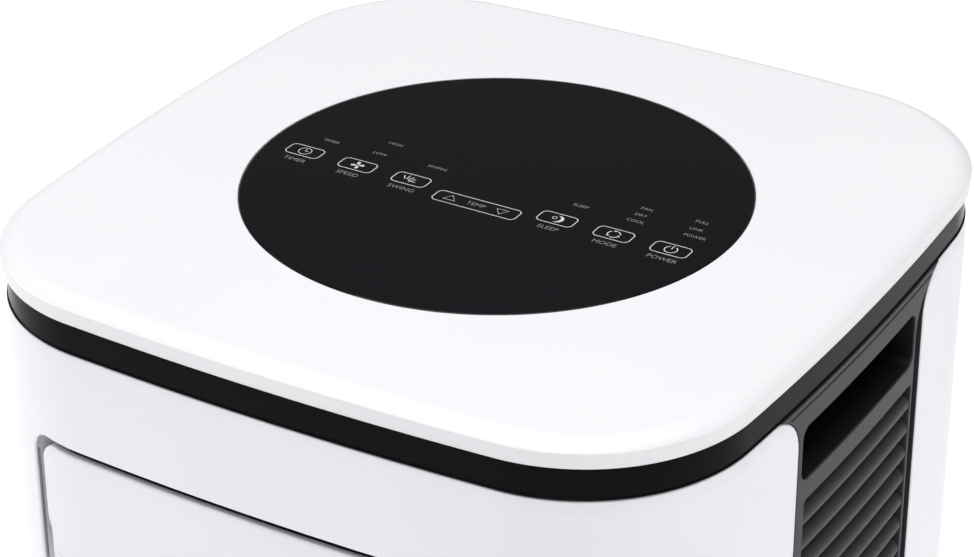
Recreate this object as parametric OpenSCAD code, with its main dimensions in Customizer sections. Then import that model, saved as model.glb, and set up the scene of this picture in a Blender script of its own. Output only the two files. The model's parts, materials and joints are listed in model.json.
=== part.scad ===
// Portable air conditioner on four casters.
// Origin on the floor under the centre, +Z up, front towards -Y, millimetres.

/* [Body] */
// Width across the lid
body_w = 340; // [320:1:420]
// Depth across the lid
body_d = 342; // [335:1:420]
// Height from the floor to the top of the lid
body_h = 700; // [698:1:860]
// Radius of the four upright corners
corner_r = 75; // [60:1:90]
// How far each side bows out between its corners
side_bow = 9.6; // [6:0.1:12]
// Wall of the moulded shells
wall = 2.5; // [2:0.1:3]
// How far the shells stand inside the lid's edge
shell_inset = 0.7; // [0.4:0.1:2]
// Height of the shells' lower edge above the floor
skirt_z = 42; // [36:1:46]

/* [Lid and neck] */
// Height of the lid's rim
lid_h = 10.5; // [9:0.1:16]
// Thickness of the lid's top
lid_t = 3.5; // [3:0.1:5]
// Radius of the control glass
glass_r = 107; // [90:0.5:115]
// Thickness of the control glass
glass_t = 3; // [2:0.1:3.4]
// Width of the ledge under the glass
glass_ledge = 5; // [3:0.5:10]
// Radius of the touch board
board_r = 95; // [70:1:98]
// Height of the dark neck between lid and shells
neck_h = 14; // [8:0.5:24]
// How far the neck stands inside the shells
neck_inset = 1.2; // [0.5:0.1:4]
// Width of the neck's inner flange
neck_flange = 22; // [14:1:30]

/* [Sides] */
// Distance from the centre to the front shell's side edge
side_front = 57.5; // [50:0.5:70]
// Distance from the centre to the rear shell's side edge
side_rear = 62; // [56:0.5:70]
// Radius of the shells' upper corners on the sides
side_corner_r = 13; // [8:0.5:20]
// Width of the groove between grille and rear shell
groove_w = 6.5; // [4:0.1:9]
// Depth of that groove
groove_d = 4; // [3:0.1:6]
// Length of the handle pocket
handle_w = 106.5; // [90:0.5:107]
// Height of the handle pocket's mouth
handle_h = 24.5; // [20:0.5:27]
// Depth of the handle pocket
handle_d = 36; // [28:0.5:38]
// Drop from the lid's top to the pocket's mouth
handle_drop = 37.5; // [34:0.5:42]
// Drop from the lid's top to the first slat
slat_drop = 72; // [70:0.5:80]
// Distance between slats
slat_pitch = 12; // [10:0.5:18]
// Thickness of a slat
slat_t = 2.6; // [2:0.1:4]
// Length of a slat
slat_w = 103; // [80:1:104]

/* [Air outlet] */
// Width of the outlet recess
outlet_w = 251; // [200:1:252]
// Height of the outlet recess
outlet_h = 125; // [110:1:128]
// Drop from the lid's top to the recess
outlet_drop = 70; // [66:0.5:76]
// Radius of the recess's corners
outlet_corner_r = 11; // [6:0.5:20]
// Gap at each end of the flap
flap_side_gap = 6.8; // [5:0.1:9]
// Gap above the flap
flap_top_gap = 2; // [1.5:0.1:4]
// Gap below the flap
flap_bottom_gap = 7; // [6:0.1:9]
// Thickness of the flap
flap_t = 3; // [2:0.1:3.5]
// Radius of the flap's corners
flap_corner_r = 6.5; // [4:0.5:12]
// Distance from the front face back to the flap's pivot
pivot_in = 41; // [38:0.5:44]
// Height of the pivot above the flap's lower edge
pivot_up = 28; // [24:0.5:32]
// Radius of the flap's pivot pins
pivot_pin_r = 2.5; // [2:0.1:3.5]
// Length of a vane from front to back
vane_l = 30; // [22:1:34]
// Thickness of a vane
vane_t = 1.6; // [1.2:0.1:2.4]
// Distance between vanes
vane_pitch = 46; // [40:1:50]
// Radius of the vane pins
vane_pin_r = 2; // [1.5:0.1:2.5]

/* [Heat exchangers] */
// Width of both coils
coil_w = 230; // [200:2:236]
// Depth of both coils
coil_t = 30; // [20:1:32]
// Number of tube rows in the evaporator
evap_rows = 8; // [6:2:8]
// Number of tube rows in the condenser
cond_rows = 6; // [4:2:6]
// Distance between fins
fin_pitch = 11.5; // [8:0.5:16]
// Thickness of a fin
fin_t = 1.2; // [0.8:0.1:2]
// Radius of the coil tubes
coil_tube_r = 4.5; // [3.5:0.1:6]
// Distance between coil tubes
coil_tube_pitch = 26; // [22:1:26]

/* [Fans] */
// Radius of the upper fan wheel
upper_wheel_r = 75; // [60:1:77]
// Width of the upper fan wheel
upper_wheel_w = 54; // [40:1:56]
// Radius of the lower fan wheel
lower_wheel_r = 62; // [50:1:64]
// Width of the lower fan wheel
lower_wheel_w = 40; // [30:1:42]
// Number of blades in a wheel
blade_count = 30; // [20:1:40]
// Radius of a fan motor
motor_r = 36; // [28:1:38]
// Length of a fan motor
motor_l = 38; // [28:1:40]
// Radius of a fan shaft
shaft_r = 4; // [3:0.1:6]
// Wall of the scroll housings
scroll_wall = 2; // [1.6:0.1:3]

/* [Exhaust] */
// Radius of the exhaust collar's bore
exhaust_r = 60; // [50:0.5:61]
// Wall of the exhaust collar
collar_wall = 4; // [3:0.1:5]

/* [Cooling circuit] */
// Radius of the compressor
comp_r = 50; // [44:1:54]
// Height of the compressor
comp_h = 205; // [180:1:225]
// Radius of the suction accumulator
accu_r = 20; // [16:0.5:22]
// Height of the accumulator
accu_h = 120; // [90:1:140]
// Radius of the refrigerant pipes
pipe_r = 4; // [3:0.1:5]
// Height of the condensate pan's rim
pan_h = 8; // [6:0.5:10]

/* [Casters and drains] */
// Radius of a caster wheel
caster_r = 20; // [18:0.5:22]
// Width of a caster wheel
caster_w = 18; // [14:0.5:22]
// Distance between swivel and axle
caster_trail = 13; // [10:0.5:16]
// Distance of the swivels from the middle
caster_at = 100; // [90:1:104]
// Radius of a caster's stem
stem_r = 5.5; // [4.5:0.1:6]
// Radius of a caster's axle
axle_r = 3; // [2.5:0.1:4]
// Radius of the drain bores
drain_r = 6; // [4:0.1:6.5]
// Radius of the cord's inlet
cord_r = 4; // [3:0.1:5]

/* [Hidden] */

// Fits
seam = 0.3;
run_fit = 0.05;
big = 1000;
$fn = 64;

// Levels
lid_z = body_h - lid_h;
neck_z = lid_z - neck_h;
shell_top = neck_z - seam;
tray_z = skirt_z + 12;
tray_floor = 4;
tray_top = tray_z + tray_floor;
tray_rim_h = 26;

// Inset of the grilles' face, and of the tray and deck that stand inside the shells and grilles
grille_inset = shell_inset + 0.3;
groove_floor = 1.5;
tray_inset = grille_inset + groove_d + groove_floor + seam;

// Outline: two bowed faces and two bowed sides joined by tangent corner arcs
half_w = body_w / 2;
half_d = body_d / 2;
front_bow_r = (half_w * half_w + side_bow * side_bow) / (2 * side_bow);
side_bow_r = (half_d * half_d + side_bow * side_bow) / (2 * side_bow);
front_bow_c = [0, half_d - front_bow_r];
side_bow_c = [half_w - side_bow_r, 0];
bow_fn = 720;

function meet(a, ra, b, rb) =
  let (d = norm(b - a), along = (ra * ra - rb * rb + d * d) / (2 * d), up = sqrt(ra * ra - along * along),
       u = (b - a) / d)
  a + along * u + up * [-u.y, u.x];
function unit(v) = v / norm(v);

corner_c = meet(side_bow_c, side_bow_r - corner_r, front_bow_c, front_bow_r - corner_r);

// Where a corner's arc meets the rear bow and the right side's bow
function front_c(inset) = corner_c + unit(corner_c - front_bow_c) * (corner_r - inset);
function side_c(inset) = corner_c + unit(corner_c - side_bow_c) * (corner_r - inset);

// Cap of a circle beyond the chord from a to b, which runs anticlockwise
module cap(centre, r, a, b, fn) {
  along = unit(b - a);
  out = [along.y, -along.x] * r;
  intersection() {
    translate(centre) circle(r = r, $fn = fn);
    polygon([a, a + out, b + out, b]);
  }
}

module outline(inset = 0) {
  f = front_c(inset);
  s = side_c(inset);
  points = [[-f.x, -f.y], [f.x, -f.y], [s.x, -s.y], s, f, [-f.x, f.y], [-s.x, s.y], -s];
  polygon(points);
  cap(front_bow_c, front_bow_r - inset, points[4], points[5], bow_fn);
  cap(-front_bow_c, front_bow_r - inset, points[0], points[1], bow_fn);
  cap(side_bow_c, side_bow_r - inset, points[2], points[3], bow_fn);
  cap(-side_bow_c, side_bow_r - inset, points[6], points[7], bow_fn);
  cap([corner_c.x, -corner_c.y], corner_r - inset, points[1], points[2], 96);
  cap(corner_c, corner_r - inset, points[3], points[4], 96);
  cap([-corner_c.x, corner_c.y], corner_r - inset, points[5], points[6], 96);
  cap(-corner_c, corner_r - inset, points[7], points[0], 96);
}

// Depth of the outline's face at a distance from the middle, on the bowed stretch
function face_y(x, inset = 0) = front_bow_c.y + sqrt(pow(front_bow_r - inset, 2) - x * x);
function face_x(y, inset = 0) = side_bow_c.x + sqrt(pow(side_bow_r - inset, 2) - y * y);

module prism(inset, z0, z1) {
  translate([0, 0, z0]) linear_extrude(z1 - z0) outline(inset);
}

module ring(inset, t, z0, z1) {
  translate([0, 0, z0])
    linear_extrude(z1 - z0)
      difference() {
        outline(inset);
        outline(inset + t);
      }
}

// A box given by its low and high corners
module block(low, high) {
  translate(low) cube(high - low);
}

// A cylinder along Y
module rod_y(r, x, z, y0, y1, fn = 64) {
  translate([x, y0, z]) rotate([-90, 0, 0]) cylinder(r = r, h = y1 - y0, $fn = fn);
}

// A cylinder along X
module rod_x(r, y, z, x0, x1, fn = 64) {
  translate([x0, y, z]) rotate([0, 90, 0]) cylinder(r = r, h = x1 - x0, $fn = fn);
}

// A rounded rectangle, cut through along Y
module window(x0, x1, z0, z1, r, y0, y1) {
  translate([0, y1, 0])
    rotate([90, 0, 0])
      linear_extrude(y1 - y0) {
        translate([x0 + r, z0]) square([x1 - x0 - 2 * r, z1 - z0]);
        translate([x0, z0 + r]) square([x1 - x0, z1 - z0 - 2 * r]);
        for (x = [x0 + r, x1 - r], z = [z0 + r, z1 - r])
          translate([x, z]) circle(r = r, $fn = 48);
      }
}

// A pipe along a list of points, with round elbows
module pipe(points, r) {
  for (i = [0 : len(points) - 2]) {
    step = points[i + 1] - points[i];
    translate(points[i])
      rotate([0, acos(step.z / norm(step)), atan2(step.y, step.x)])
        cylinder(r = r, h = norm(step), $fn = 24);
  }
  for (i = [1 : len(points) - 2]) translate(points[i]) sphere(r = r + 0.5, $fn = 24);
}

// Stretch of the side that a white shell covers: behind edge, with a rounded upper corner
module side_cover(edge, r, z0, z1) {
  rotate([90, 0, 90])
    translate([0, 0, -big / 2])
      linear_extrude(big) {
        translate([edge + r, z0]) square([big, z1 - z0]);
        translate([edge, z0]) square([big, z1 - r - z0]);
        translate([edge + r, z1 - r]) circle(r = r, $fn = 64);
      }
}

module front_cover(grow = 0) {
  mirror([0, 1, 0]) side_cover(side_front - grow, side_corner_r + grow, 0, shell_top + 1);
}

module rear_cover(grow = 0) {
  side_cover(side_rear - grow, side_corner_r + grow, 0, shell_top + 1);
}

// Lid and controls
seat_r = glass_r + seam;
board_z = lid_z + 1;
board_t = 1.6;

module top_lid() {
  color([0.95, 0.95, 0.96])
    difference() {
      union() {
        difference() {
          prism(0, lid_z, body_h);
          prism(lid_t, lid_z - 1, body_h - lid_t);
        }
        translate([0, 0, board_z + board_t + 1])
          cylinder(r = seat_r + 3, h = body_h - glass_t - board_z - board_t - 1, $fn = 128);
      }
      translate([0, 0, body_h - glass_t]) cylinder(r = seat_r, h = glass_t + 1, $fn = 128);
      translate([0, 0, lid_z - 1]) cylinder(r = seat_r - glass_ledge, h = lid_h, $fn = 128);
    }
}

module control_glass() {
  color([0.06, 0.06, 0.07])
    translate([0, 0, body_h - glass_t]) cylinder(r = glass_r, h = glass_t, $fn = 128);
}

// Keys across the panel: timer, speed, swing, two temperature keys, sleep, mode and power
key_pitch = 26.2;
key_y = -12;

module control_board() {
  color([0.05, 0.3, 0.16]) {
    difference() {
      translate([0, 0, board_z]) cylinder(r = board_r, h = board_t);
      for (a = [45 : 90 : 315])
        rotate(a) translate([board_r - 6, 0, board_z - 1]) cylinder(r = 1.6, h = 4, $fn = 24);
    }
    for (i = [-3.5 : 1 : 3.5])
      translate([i * key_pitch - sign(i) * 2, key_y, board_z + board_t])
        cylinder(r = 4, h = body_h - glass_t - board_z - board_t, $fn = 32);
  }
}

neck_face = shell_inset + neck_inset;
neck_floor = 2.5;

module neck_band() {
  color([0.11, 0.11, 0.12]) {
    ring(neck_face, wall, neck_z, lid_z);
    ring(neck_face, neck_flange, neck_z, neck_z + neck_floor);
  }
}

// Shells
outlet_x = outlet_w / 2;
outlet_z1 = body_h - outlet_drop;
outlet_z0 = outlet_z1 - outlet_h;
screw_r = 2;
screw_head_r = 3.6;
screw_z = tray_top + 12;
screw_x = 112;

module front_shell() {
  color([0.93, 0.93, 0.95])
    difference() {
      intersection() {
        ring(shell_inset, wall, skirt_z, shell_top);
        front_cover();
      }
      window(-outlet_x, outlet_x, outlet_z0, outlet_z1, outlet_corner_r, -half_d - 5, -half_d / 2);
      for (s = [-1, 1]) screw_line(s, -1, screw_r + 0.2, 30);
    }
}

// Axis of a case screw, square to the rounded corner
module screw_line(sx, sy, r, l, out = 0) {
  translate([sx * corner_c.x, sy * corner_c.y, screw_z])
    rotate([0, 0, atan2(sy, sx)])
      translate([corner_r - shell_inset - wall + out, 0, 0])
        rotate([0, 90, 0])
          translate([0, 0, -l / 2]) cylinder(r = r, h = l, $fn = 24);
}

intake_x = 104;
intake_r = 8;
upper_intake_z0 = body_h - 296;
upper_intake_z1 = body_h - 68;
lower_intake_z0 = tray_top + 32;
lower_intake_z1 = tray_top + 184;

// Exhaust, drains and cord inlet
collar_r = exhaust_r + collar_wall;
collar_z = tray_top + 256;
lower_drain = [62, tray_top + 10];
deck_z = body_h - 317;
deck_t = 3;
upper_drain = [-86, deck_z + deck_t + 5];
drain_boss_r = drain_r + 2;
gland_at = [-88, tray_top + 204];
gland_r = cord_r + 4;

module rear_shell() {
  color([0.93, 0.93, 0.95])
    difference() {
      intersection() {
        ring(shell_inset, wall, skirt_z, shell_top);
        rear_cover();
      }
      window(-intake_x, intake_x, upper_intake_z0, upper_intake_z1, intake_r, half_d / 2, half_d + 5);
      window(-intake_x, intake_x, lower_intake_z0, lower_intake_z1, intake_r, half_d / 2, half_d + 5);
      rod_y(collar_r + seam, 0, collar_z, half_d / 2, half_d + 5, 128);
      rod_y(drain_boss_r + seam, lower_drain.x, lower_drain.y, half_d / 2, half_d + 5);
      rod_y(drain_boss_r + seam, upper_drain.x, upper_drain.y, half_d / 2, half_d + 5);
      rod_y(gland_r + run_fit, gland_at.x, gland_at.y, half_d / 2, half_d + 5);
      for (s = [-1, 1]) screw_line(s, 1, screw_r + 0.2, 30);
    }
}

// Side grilles
slat_z1 = body_h - slat_drop;
slat_count = floor((slat_z1 - tray_top - tray_rim_h - 2) / slat_pitch);
slat_z0 = slat_z1 - slat_count * slat_pitch;
slat_y0 = side_rear - groove_w - 2.5 - slat_w;
slat_y1 = slat_y0 + slat_w;
slat_depth = 10;
slat_fall = 7;
slat_rail = 2;
handle_y0 = side_rear - groove_w - 2.5 - handle_w;
handle_y1 = handle_y0 + handle_w;
handle_z1 = body_h - handle_drop;
handle_z0 = handle_z1 - handle_h;
handle_r = 5;

// A rounded opening cut through along X
module side_window(y0, y1, z0, z1, r) {
  rotate([0, 0, 90]) window(y0, y1, z0, z1, r, -half_w - 5, -half_w + 40);
}

// Half of a solid, on the right of the middle
module right_half() {
  intersection() {
    children();
    block([0, -big / 2, 0], [big, big / 2, big]);
  }
}

groove_lip = 0.8;
groove_root = 2;
lining_x = face_x(side_rear, grille_inset + groove_d + groove_floor);

module side_grille() {
  right_half()
    difference() {
      ring(grille_inset, wall, skirt_z, shell_top);
      front_cover(seam);
      rear_cover(groove_w);
      side_window(handle_y0, handle_y1, handle_z0, handle_z1, handle_r);
      side_window(slat_y0, slat_y1, slat_z0, slat_z1, 2);
    }
  groove_lining();
  handle_sleeve();
  slats();
}

// Floor of the groove, and the lip that lines the rear shell's edge
module groove_lining() {
  right_half()
    difference() {
      intersection() {
        ring(grille_inset, groove_d + groove_floor, skirt_z, shell_top);
        rear_cover(groove_w + groove_root);
      }
      rear_cover(seam);
      difference() {
        ring(grille_inset - 1, groove_d + 1, 0, body_h);
        rear_cover(seam + groove_lip);
      }
    }
}

// Short sleeve that leads from the grille's face to the handle cup
module handle_sleeve() {
  intersection() {
    prism(grille_inset + 0.5, handle_z0 - 5, handle_z1 + 5);
    difference() {
      block([cup_x1, handle_y0 - cup_wall, handle_z0 - cup_wall],
            [half_w, handle_y1 + cup_wall, handle_z1 + cup_wall]);
      block([0, handle_y0, handle_z0], [half_w + 1, handle_y1, handle_z1]);
    }
  }
}

module slats() {
  intersection() {
    prism(grille_inset + 0.2, slat_z0 - 5, slat_z1 + 12);
    union() {
      for (i = [0 : slat_count - 1])
        translate([0, slat_y1 + 1, slat_z0 + i * slat_pitch])
          rotate([90, 0, 0])
            linear_extrude(slat_w + 2)
              polygon([[half_w, 0], [half_w, slat_t], [half_w - slat_depth, slat_t + slat_fall],
                       [half_w - slat_depth, slat_fall]]);
      for (y = [slat_y0 + slat_w / 3, slat_y0 + slat_w * 2 / 3])
        block([half_w - slat_depth, y - 1, slat_z0], [half_w - slat_depth + 4, y + 1, slat_z1 + 4]);
      for (y = [slat_y0 - slat_rail, slat_y1])
        block([half_w - slat_depth, y, slat_z0], [half_w, y + slat_rail, slat_z1 + 4]);
    }
  }
}

module side_grille_right() {
  color([0.29, 0.29, 0.3]) side_grille();
}

module side_grille_left() {
  color([0.29, 0.29, 0.3]) mirror([1, 0, 0]) side_grille();
}

// Handle pockets, with room for the fingertips behind the grille's upper edge
cup_wall = 2;
cup_x1 = lining_x - 0.5;
cup_x0 = half_w - handle_d - cup_wall;
cup_rise = 6;
cup_lip = 6;

module handle_cup() {
  difference() {
    block([cup_x0, handle_y0 - cup_wall, handle_z0 - cup_wall],
          [cup_x1, handle_y1 + cup_wall, handle_z1 + cup_rise + cup_wall]);
    block([cup_x0 + cup_wall, handle_y0, handle_z0], [cup_x1 + 1, handle_y1, handle_z1]);
    block([cup_x0 + cup_wall, handle_y0, handle_z1 - 1], [cup_x1 - cup_lip, handle_y1, handle_z1 + cup_rise]);
  }
}

module handle_cup_right() {
  color([0.06, 0.06, 0.065]) handle_cup();
}

module handle_cup_left() {
  color([0.06, 0.06, 0.065]) mirror([1, 0, 0]) handle_cup();
}

// Base tray with the caster bosses
tray_t = 2.5;
boss_r = stem_r + 4;
stem_top = tray_top + 8;
fork_top = tray_z - 2;

module base_tray() {
  color([0.3, 0.3, 0.31])
    difference() {
      union() {
        prism(tray_inset, tray_z, tray_top);
        ring(tray_inset, tray_t, tray_z, tray_top + tray_rim_h);
        for (sx = [-1, 1], sy = [-1, 1])
          translate([sx * caster_at, sy * caster_at, fork_top + 0.5])
            cylinder(r = boss_r, h = stem_top + 2 - fork_top);
        for (sx = [-1, 1], sy = [-1, 1])
          intersection() {
            screw_line(sx, sy, 5, 20, -8);
            prism(shell_inset + wall + seam, tray_z, tray_top + tray_rim_h);
          }
        rod_y(drain_boss_r, lower_drain.x, lower_drain.y, half_d - 12, face_y(lower_drain.x, shell_inset + 1));
      }
      for (sx = [-1, 1], sy = [-1, 1])
        translate([sx * caster_at, sy * caster_at, 0]) cylinder(r = stem_r + run_fit, h = stem_top + seam);
      for (sx = [-1, 1], sy = [-1, 1]) screw_line(sx, sy, screw_r + run_fit, 24, -4);
      rod_y(drain_r, lower_drain.x, lower_drain.y, half_d - 16, half_d + 5);
      for (a = comp_feet_angles)
        translate([comp_at.x, comp_at.y, tray_z - 1]) rotate(a) translate([comp_foot_r, 0, 0])
          cylinder(r = 2.5, h = tray_floor + 2, $fn = 24);
    }
}

// Case screws: two at the front and two at the rear, through the shells into the tray
module case_screws() {
  color([0.25, 0.25, 0.26])
    for (sx = [-1, 1], sy = [-1, 1])
      translate([sx * corner_c.x, sy * corner_c.y, screw_z])
        rotate([0, 0, atan2(sy, sx)])
          translate([corner_r - shell_inset, 0, 0])
            rotate([0, 90, 0]) {
              translate([0, 0, -wall - 10]) cylinder(r = screw_r, h = wall + 10.3, $fn = 24);
              translate([0, 0, 0.1]) cylinder(r = screw_head_r, h = 0.5, $fn = 32);
            }
}

// Casters: a fork whose stem turns in the tray, and a wheel on the fork's axle
caster_places = [[-1, -1], [1, -1], [1, 1], [-1, 1]];
fork_gap = 0.5;
fork_t = 2.5;

module caster_fork(n) {
  place = caster_places[n - 1];
  top = fork_top;
  inner = caster_w / 2 + fork_gap;
  color([0.33, 0.33, 0.34])
    translate([place.x * caster_at, place.y * caster_at, 0]) {
      translate([0, 0, top - 2]) cylinder(r = stem_r, h = stem_top - top + 2);
      translate([0, 0, caster_r * 2 + 1]) cylinder(r = inner + fork_t, h = top - 2 * caster_r - 1);
      for (s = [-1, 1])
        translate([0, s * (inner + fork_t / 2) + fork_t / 2, 0])
          rotate([90, 0, 0])
            linear_extrude(fork_t) {
              translate([caster_trail, caster_r]) circle(r = axle_r + 3);
              polygon([[-6, top], [-6, 2 * caster_r], [caster_trail - 6, caster_r],
                       [caster_trail + 6, caster_r], [caster_trail + 6, 2 * caster_r], [6, top]]);
            }
      rod_y(axle_r, caster_trail, caster_r, -inner - fork_t, inner + fork_t);
    }
}

module caster_wheel(n) {
  place = caster_places[n - 1];
  color([0.12, 0.12, 0.13])
    translate([place.x * caster_at + caster_trail, place.y * caster_at, caster_r])
      rotate([90, 0, 0])
        rotate_extrude($fn = 96)
          polygon([[axle_r + run_fit, -caster_w / 2], [caster_r - 2, -caster_w / 2],
                   [caster_r, -caster_w / 2 + 2], [caster_r, caster_w / 2 - 2],
                   [caster_r - 2, caster_w / 2], [axle_r + run_fit, caster_w / 2]]);
}

// Air outlet
duct_z0 = outlet_z0 - 16;
duct_z1 = outlet_z1 + 6;
duct_wall = 2.5;
duct_front_inset = shell_inset + wall + seam;
plenum_z0 = duct_z1 - 88;
scroll_y0 = 20;
scroll_y1 = 88;
duct_bend_y = -64;
duct_rise_y = -30;
flap_x = outlet_x - flap_side_gap;
flap_z0 = outlet_z0 + flap_bottom_gap;
flap_z1 = outlet_z1 - flap_top_gap;
pivot_y = -half_d + shell_inset + pivot_in;
pivot_z = flap_z0 + pivot_up;
vane_y = pivot_y + 34;
vane_z0 = duct_z0 + 2;
vane_z1 = duct_z1 - 2;
link_z = (vane_z0 + vane_z1) / 2;
link_pin_back = vane_l / 2 - 4;
link_pin_r = 1.5;

module duct_profile(g) {
  polygon([[-half_d, duct_z0 - g], [duct_bend_y + g / 2, duct_z0 - g], [duct_rise_y + g / 2, plenum_z0 - g],
           [scroll_y0 - seam, plenum_z0 - g], [scroll_y0 - seam, duct_z1 + g], [-half_d, duct_z1 + g]]);
}

module along_x(half_l) {
  rotate([90, 0, 90]) translate([0, 0, -half_l]) linear_extrude(2 * half_l) children();
}

module outlet_duct() {
  color([0.2, 0.2, 0.21])
    difference() {
      intersection() {
        difference() {
          along_x(outlet_x + duct_wall) duct_profile(duct_wall);
          along_x(outlet_x) duct_profile(0);
          block([-outlet_x, scroll_y0 - 5, plenum_z0], [outlet_x, scroll_y0 + 5, duct_z1]);
        }
        prism(duct_front_inset, duct_z0 - 10, duct_z1 + 10);
      }
      rod_x(pivot_pin_r + run_fit, pivot_y, pivot_z, -outlet_x - 10, outlet_x + 10, 48);
      for (i = [-2 : 2])
        translate([i * vane_pitch, vane_y, duct_z0 - 10])
          cylinder(r = vane_pin_r + run_fit, h = duct_z1 - duct_z0 + 20, $fn = 32);
    }
}

arm_t = 3;
arm_r = 7;
arm_x = flap_x - 8;

module flap_arm() {
  rotate([90, 0, 90])
    linear_extrude(arm_t) {
      translate([pivot_y, pivot_z]) circle(r = arm_r, $fn = 64);
      polygon([[pivot_y - 2, pivot_z - arm_r], [pivot_y - 2, pivot_z + arm_r],
               [-half_d + 14, pivot_z + 34], [-half_d, pivot_z + 34], [-half_d, flap_z0 + 8],
               [-half_d + 12, flap_z0 + 8]]);
    }
}

module outlet_flap() {
  color([0.92, 0.92, 0.94]) {
    intersection() {
      ring(shell_inset, flap_t, flap_z0, flap_z1);
      window(-flap_x, flap_x, flap_z0, flap_z1, flap_corner_r, -half_d - 5, -half_d / 2);
    }
    intersection() {
      prism(shell_inset + flap_t / 2, flap_z0, flap_z1);
      union() {
        translate([arm_x, 0, 0]) flap_arm();
        translate([-arm_x - arm_t, 0, 0]) flap_arm();
      }
    }
    pin_end = outlet_x + duct_wall - seam;
    rod_x(pivot_pin_r, pivot_y, pivot_z, arm_x, pin_end, 48);
    rod_x(pivot_pin_r, pivot_y, pivot_z, -pin_end, -arm_x, 48);
  }
}

flap_motor_r = 11;
flap_motor_l = 13;

module flap_motor() {
  color([0.7, 0.71, 0.73])
    difference() {
      union() {
        rod_x(flap_motor_r, pivot_y, pivot_z, outlet_x + duct_wall, outlet_x + duct_wall + flap_motor_l);
        block([outlet_x + duct_wall, pivot_y - 3.5, pivot_z - 17],
              [outlet_x + duct_wall + 1.2, pivot_y + 3.5, pivot_z + 17]);
      }
      for (s = [-1, 1]) rod_x(1.7, pivot_y, pivot_z + s * 14, outlet_x, outlet_x + 20, 24);
    }
}

// Vertical vanes; a bar behind them makes them swing together
module vane(n) {
  x = (n - 3) * vane_pitch;
  color([0.16, 0.16, 0.17])
    translate([x, vane_y, 0]) {
      difference() {
        block([-vane_t / 2, -vane_l / 2, vane_z0], [vane_t / 2, vane_l / 2, vane_z1]);
        block([-5, link_pin_back - 5.5, link_z - 3.5], [5, vane_l, link_z + 3.5]);
      }
      translate([0, 0, vane_z0 - 4]) cylinder(r = vane_pin_r, h = 12, $fn = 32);
      translate([0, 0, vane_z1 - 8]) cylinder(r = vane_pin_r, h = 12, $fn = 32);
      translate([0, link_pin_back, link_z - 5]) cylinder(r = link_pin_r, h = 10, $fn = 32);
    }
}

module vane_link() {
  reach = 2 * vane_pitch;
  color([0.24, 0.24, 0.25])
    translate([0, vane_y + link_pin_back, link_z - 1.5])
      difference() {
        union() {
          block([-reach, -3, 0], [reach, 3, 3]);
          for (s = [-1, 1]) translate([s * reach, 0, 0]) cylinder(r = 3, h = 3);
        }
        for (i = [-2 : 2])
          translate([i * vane_pitch, 0, -1]) cylinder(r = link_pin_r + run_fit, h = 5, $fn = 32);
      }
}

// Coils: fins on level tubes, joined by bends at both ends; the first and last tube end on the left
coil_end = 4;

function row_z(z0, i) = z0 + (i + 0.5) * coil_tube_pitch;

module coil(y, z0, rows, foot) {
  x0 = -coil_w / 2;
  h = rows * coil_tube_pitch;
  fins = floor(coil_w / fin_pitch);
  color([0.72, 0.73, 0.75])
    for (i = [1 : fins - 1])
      block([x0 + i * fin_pitch, y, z0], [x0 + i * fin_pitch + fin_t, y + coil_t, z0 + h]);
  color([0.72, 0.73, 0.75])
    for (s = [-1, 1])
      block([s * coil_w / 2 - 1, y, foot], [s * coil_w / 2 + 1, y + coil_t, z0 + h]);
  color([0.72, 0.45, 0.3]) {
    for (i = [0 : rows - 1])
      rod_x(coil_tube_r, y + coil_t / 2, row_z(z0, i), x0 - coil_end, -x0 + coil_end, 32);
    for (i = [0 : rows - 2])
      translate([(i % 2 == 0 ? 1 : -1) * (coil_w / 2 + coil_end), y + coil_t / 2, row_z(z0, i + 0.5)])
        rotate([90, 0, 0])
          rotate(i % 2 == 0 ? -90 : 90)
            rotate_extrude(angle = 180, $fn = 48)
              translate([coil_tube_pitch / 2, 0]) circle(r = coil_tube_r, $fn = 32);
  }
}

evap_z0 = deck_z + deck_t + 18;
evap_y = 110;
evap_mid = evap_y + coil_t / 2;
cond_z0 = tray_top + 18;
cond_y = 114;
cond_mid = cond_y + coil_t / 2;

module evaporator() {
  coil(evap_y, evap_z0, evap_rows, deck_z + deck_t);
}

module condenser() {
  coil(cond_y, cond_z0, cond_rows, tray_top);
}

// Fan housings
upper_fan_z = plenum_z0 - 58;
lower_fan_z = tray_top + 100;
lower_scroll_y0 = 50;
lower_scroll_y1 = 104;

module volute(r, g, top) {
  circle(r = r + 9 + g, $fn = 96);
  translate([6, -4]) circle(r = r + 14 + g, $fn = 96);
  translate([20 - g, 0]) square([r + 2 * g, top]);
}

module upper_space(g) {
  translate([0, upper_fan_z]) volute(upper_wheel_r, g, plenum_z0 - upper_fan_z + 10);
  translate([-outlet_x + 12 - g, plenum_z0 - g]) square([outlet_w - 24 + 2 * g, duct_z1 - plenum_z0 + 2 * g]);
}

// The outline drawn in X and Z, extruded along Y
module along_y(y0, y1) {
  translate([0, y1, 0]) rotate([90, 0, 0]) linear_extrude(y1 - y0) children();
}

module upper_scroll() {
  w = scroll_wall;
  color([0.86, 0.86, 0.87]) {
    difference() {
      along_y(scroll_y0, scroll_y1) upper_space(w);
      along_y(scroll_y0 + w, scroll_y1 - w) upper_space(0);
      rod_y(upper_wheel_r - 13, 0, upper_fan_z, scroll_y1 - 5, scroll_y1 + 5, 96);
      rod_y(shaft_r + 4, 0, upper_fan_z, scroll_y0 - 5, scroll_y0 + 5);
      block([-outlet_x + 14, scroll_y0 - 1, plenum_z0 + 3], [outlet_x - 14, scroll_y0 + w + 1, duct_z1 - 3]);
    }
    for (x = [-30, 30])
      block([x - 6, scroll_y0, deck_z + deck_t], [x + 6, scroll_y1, upper_fan_z - upper_wheel_r - 8]);
  }
}

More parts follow.
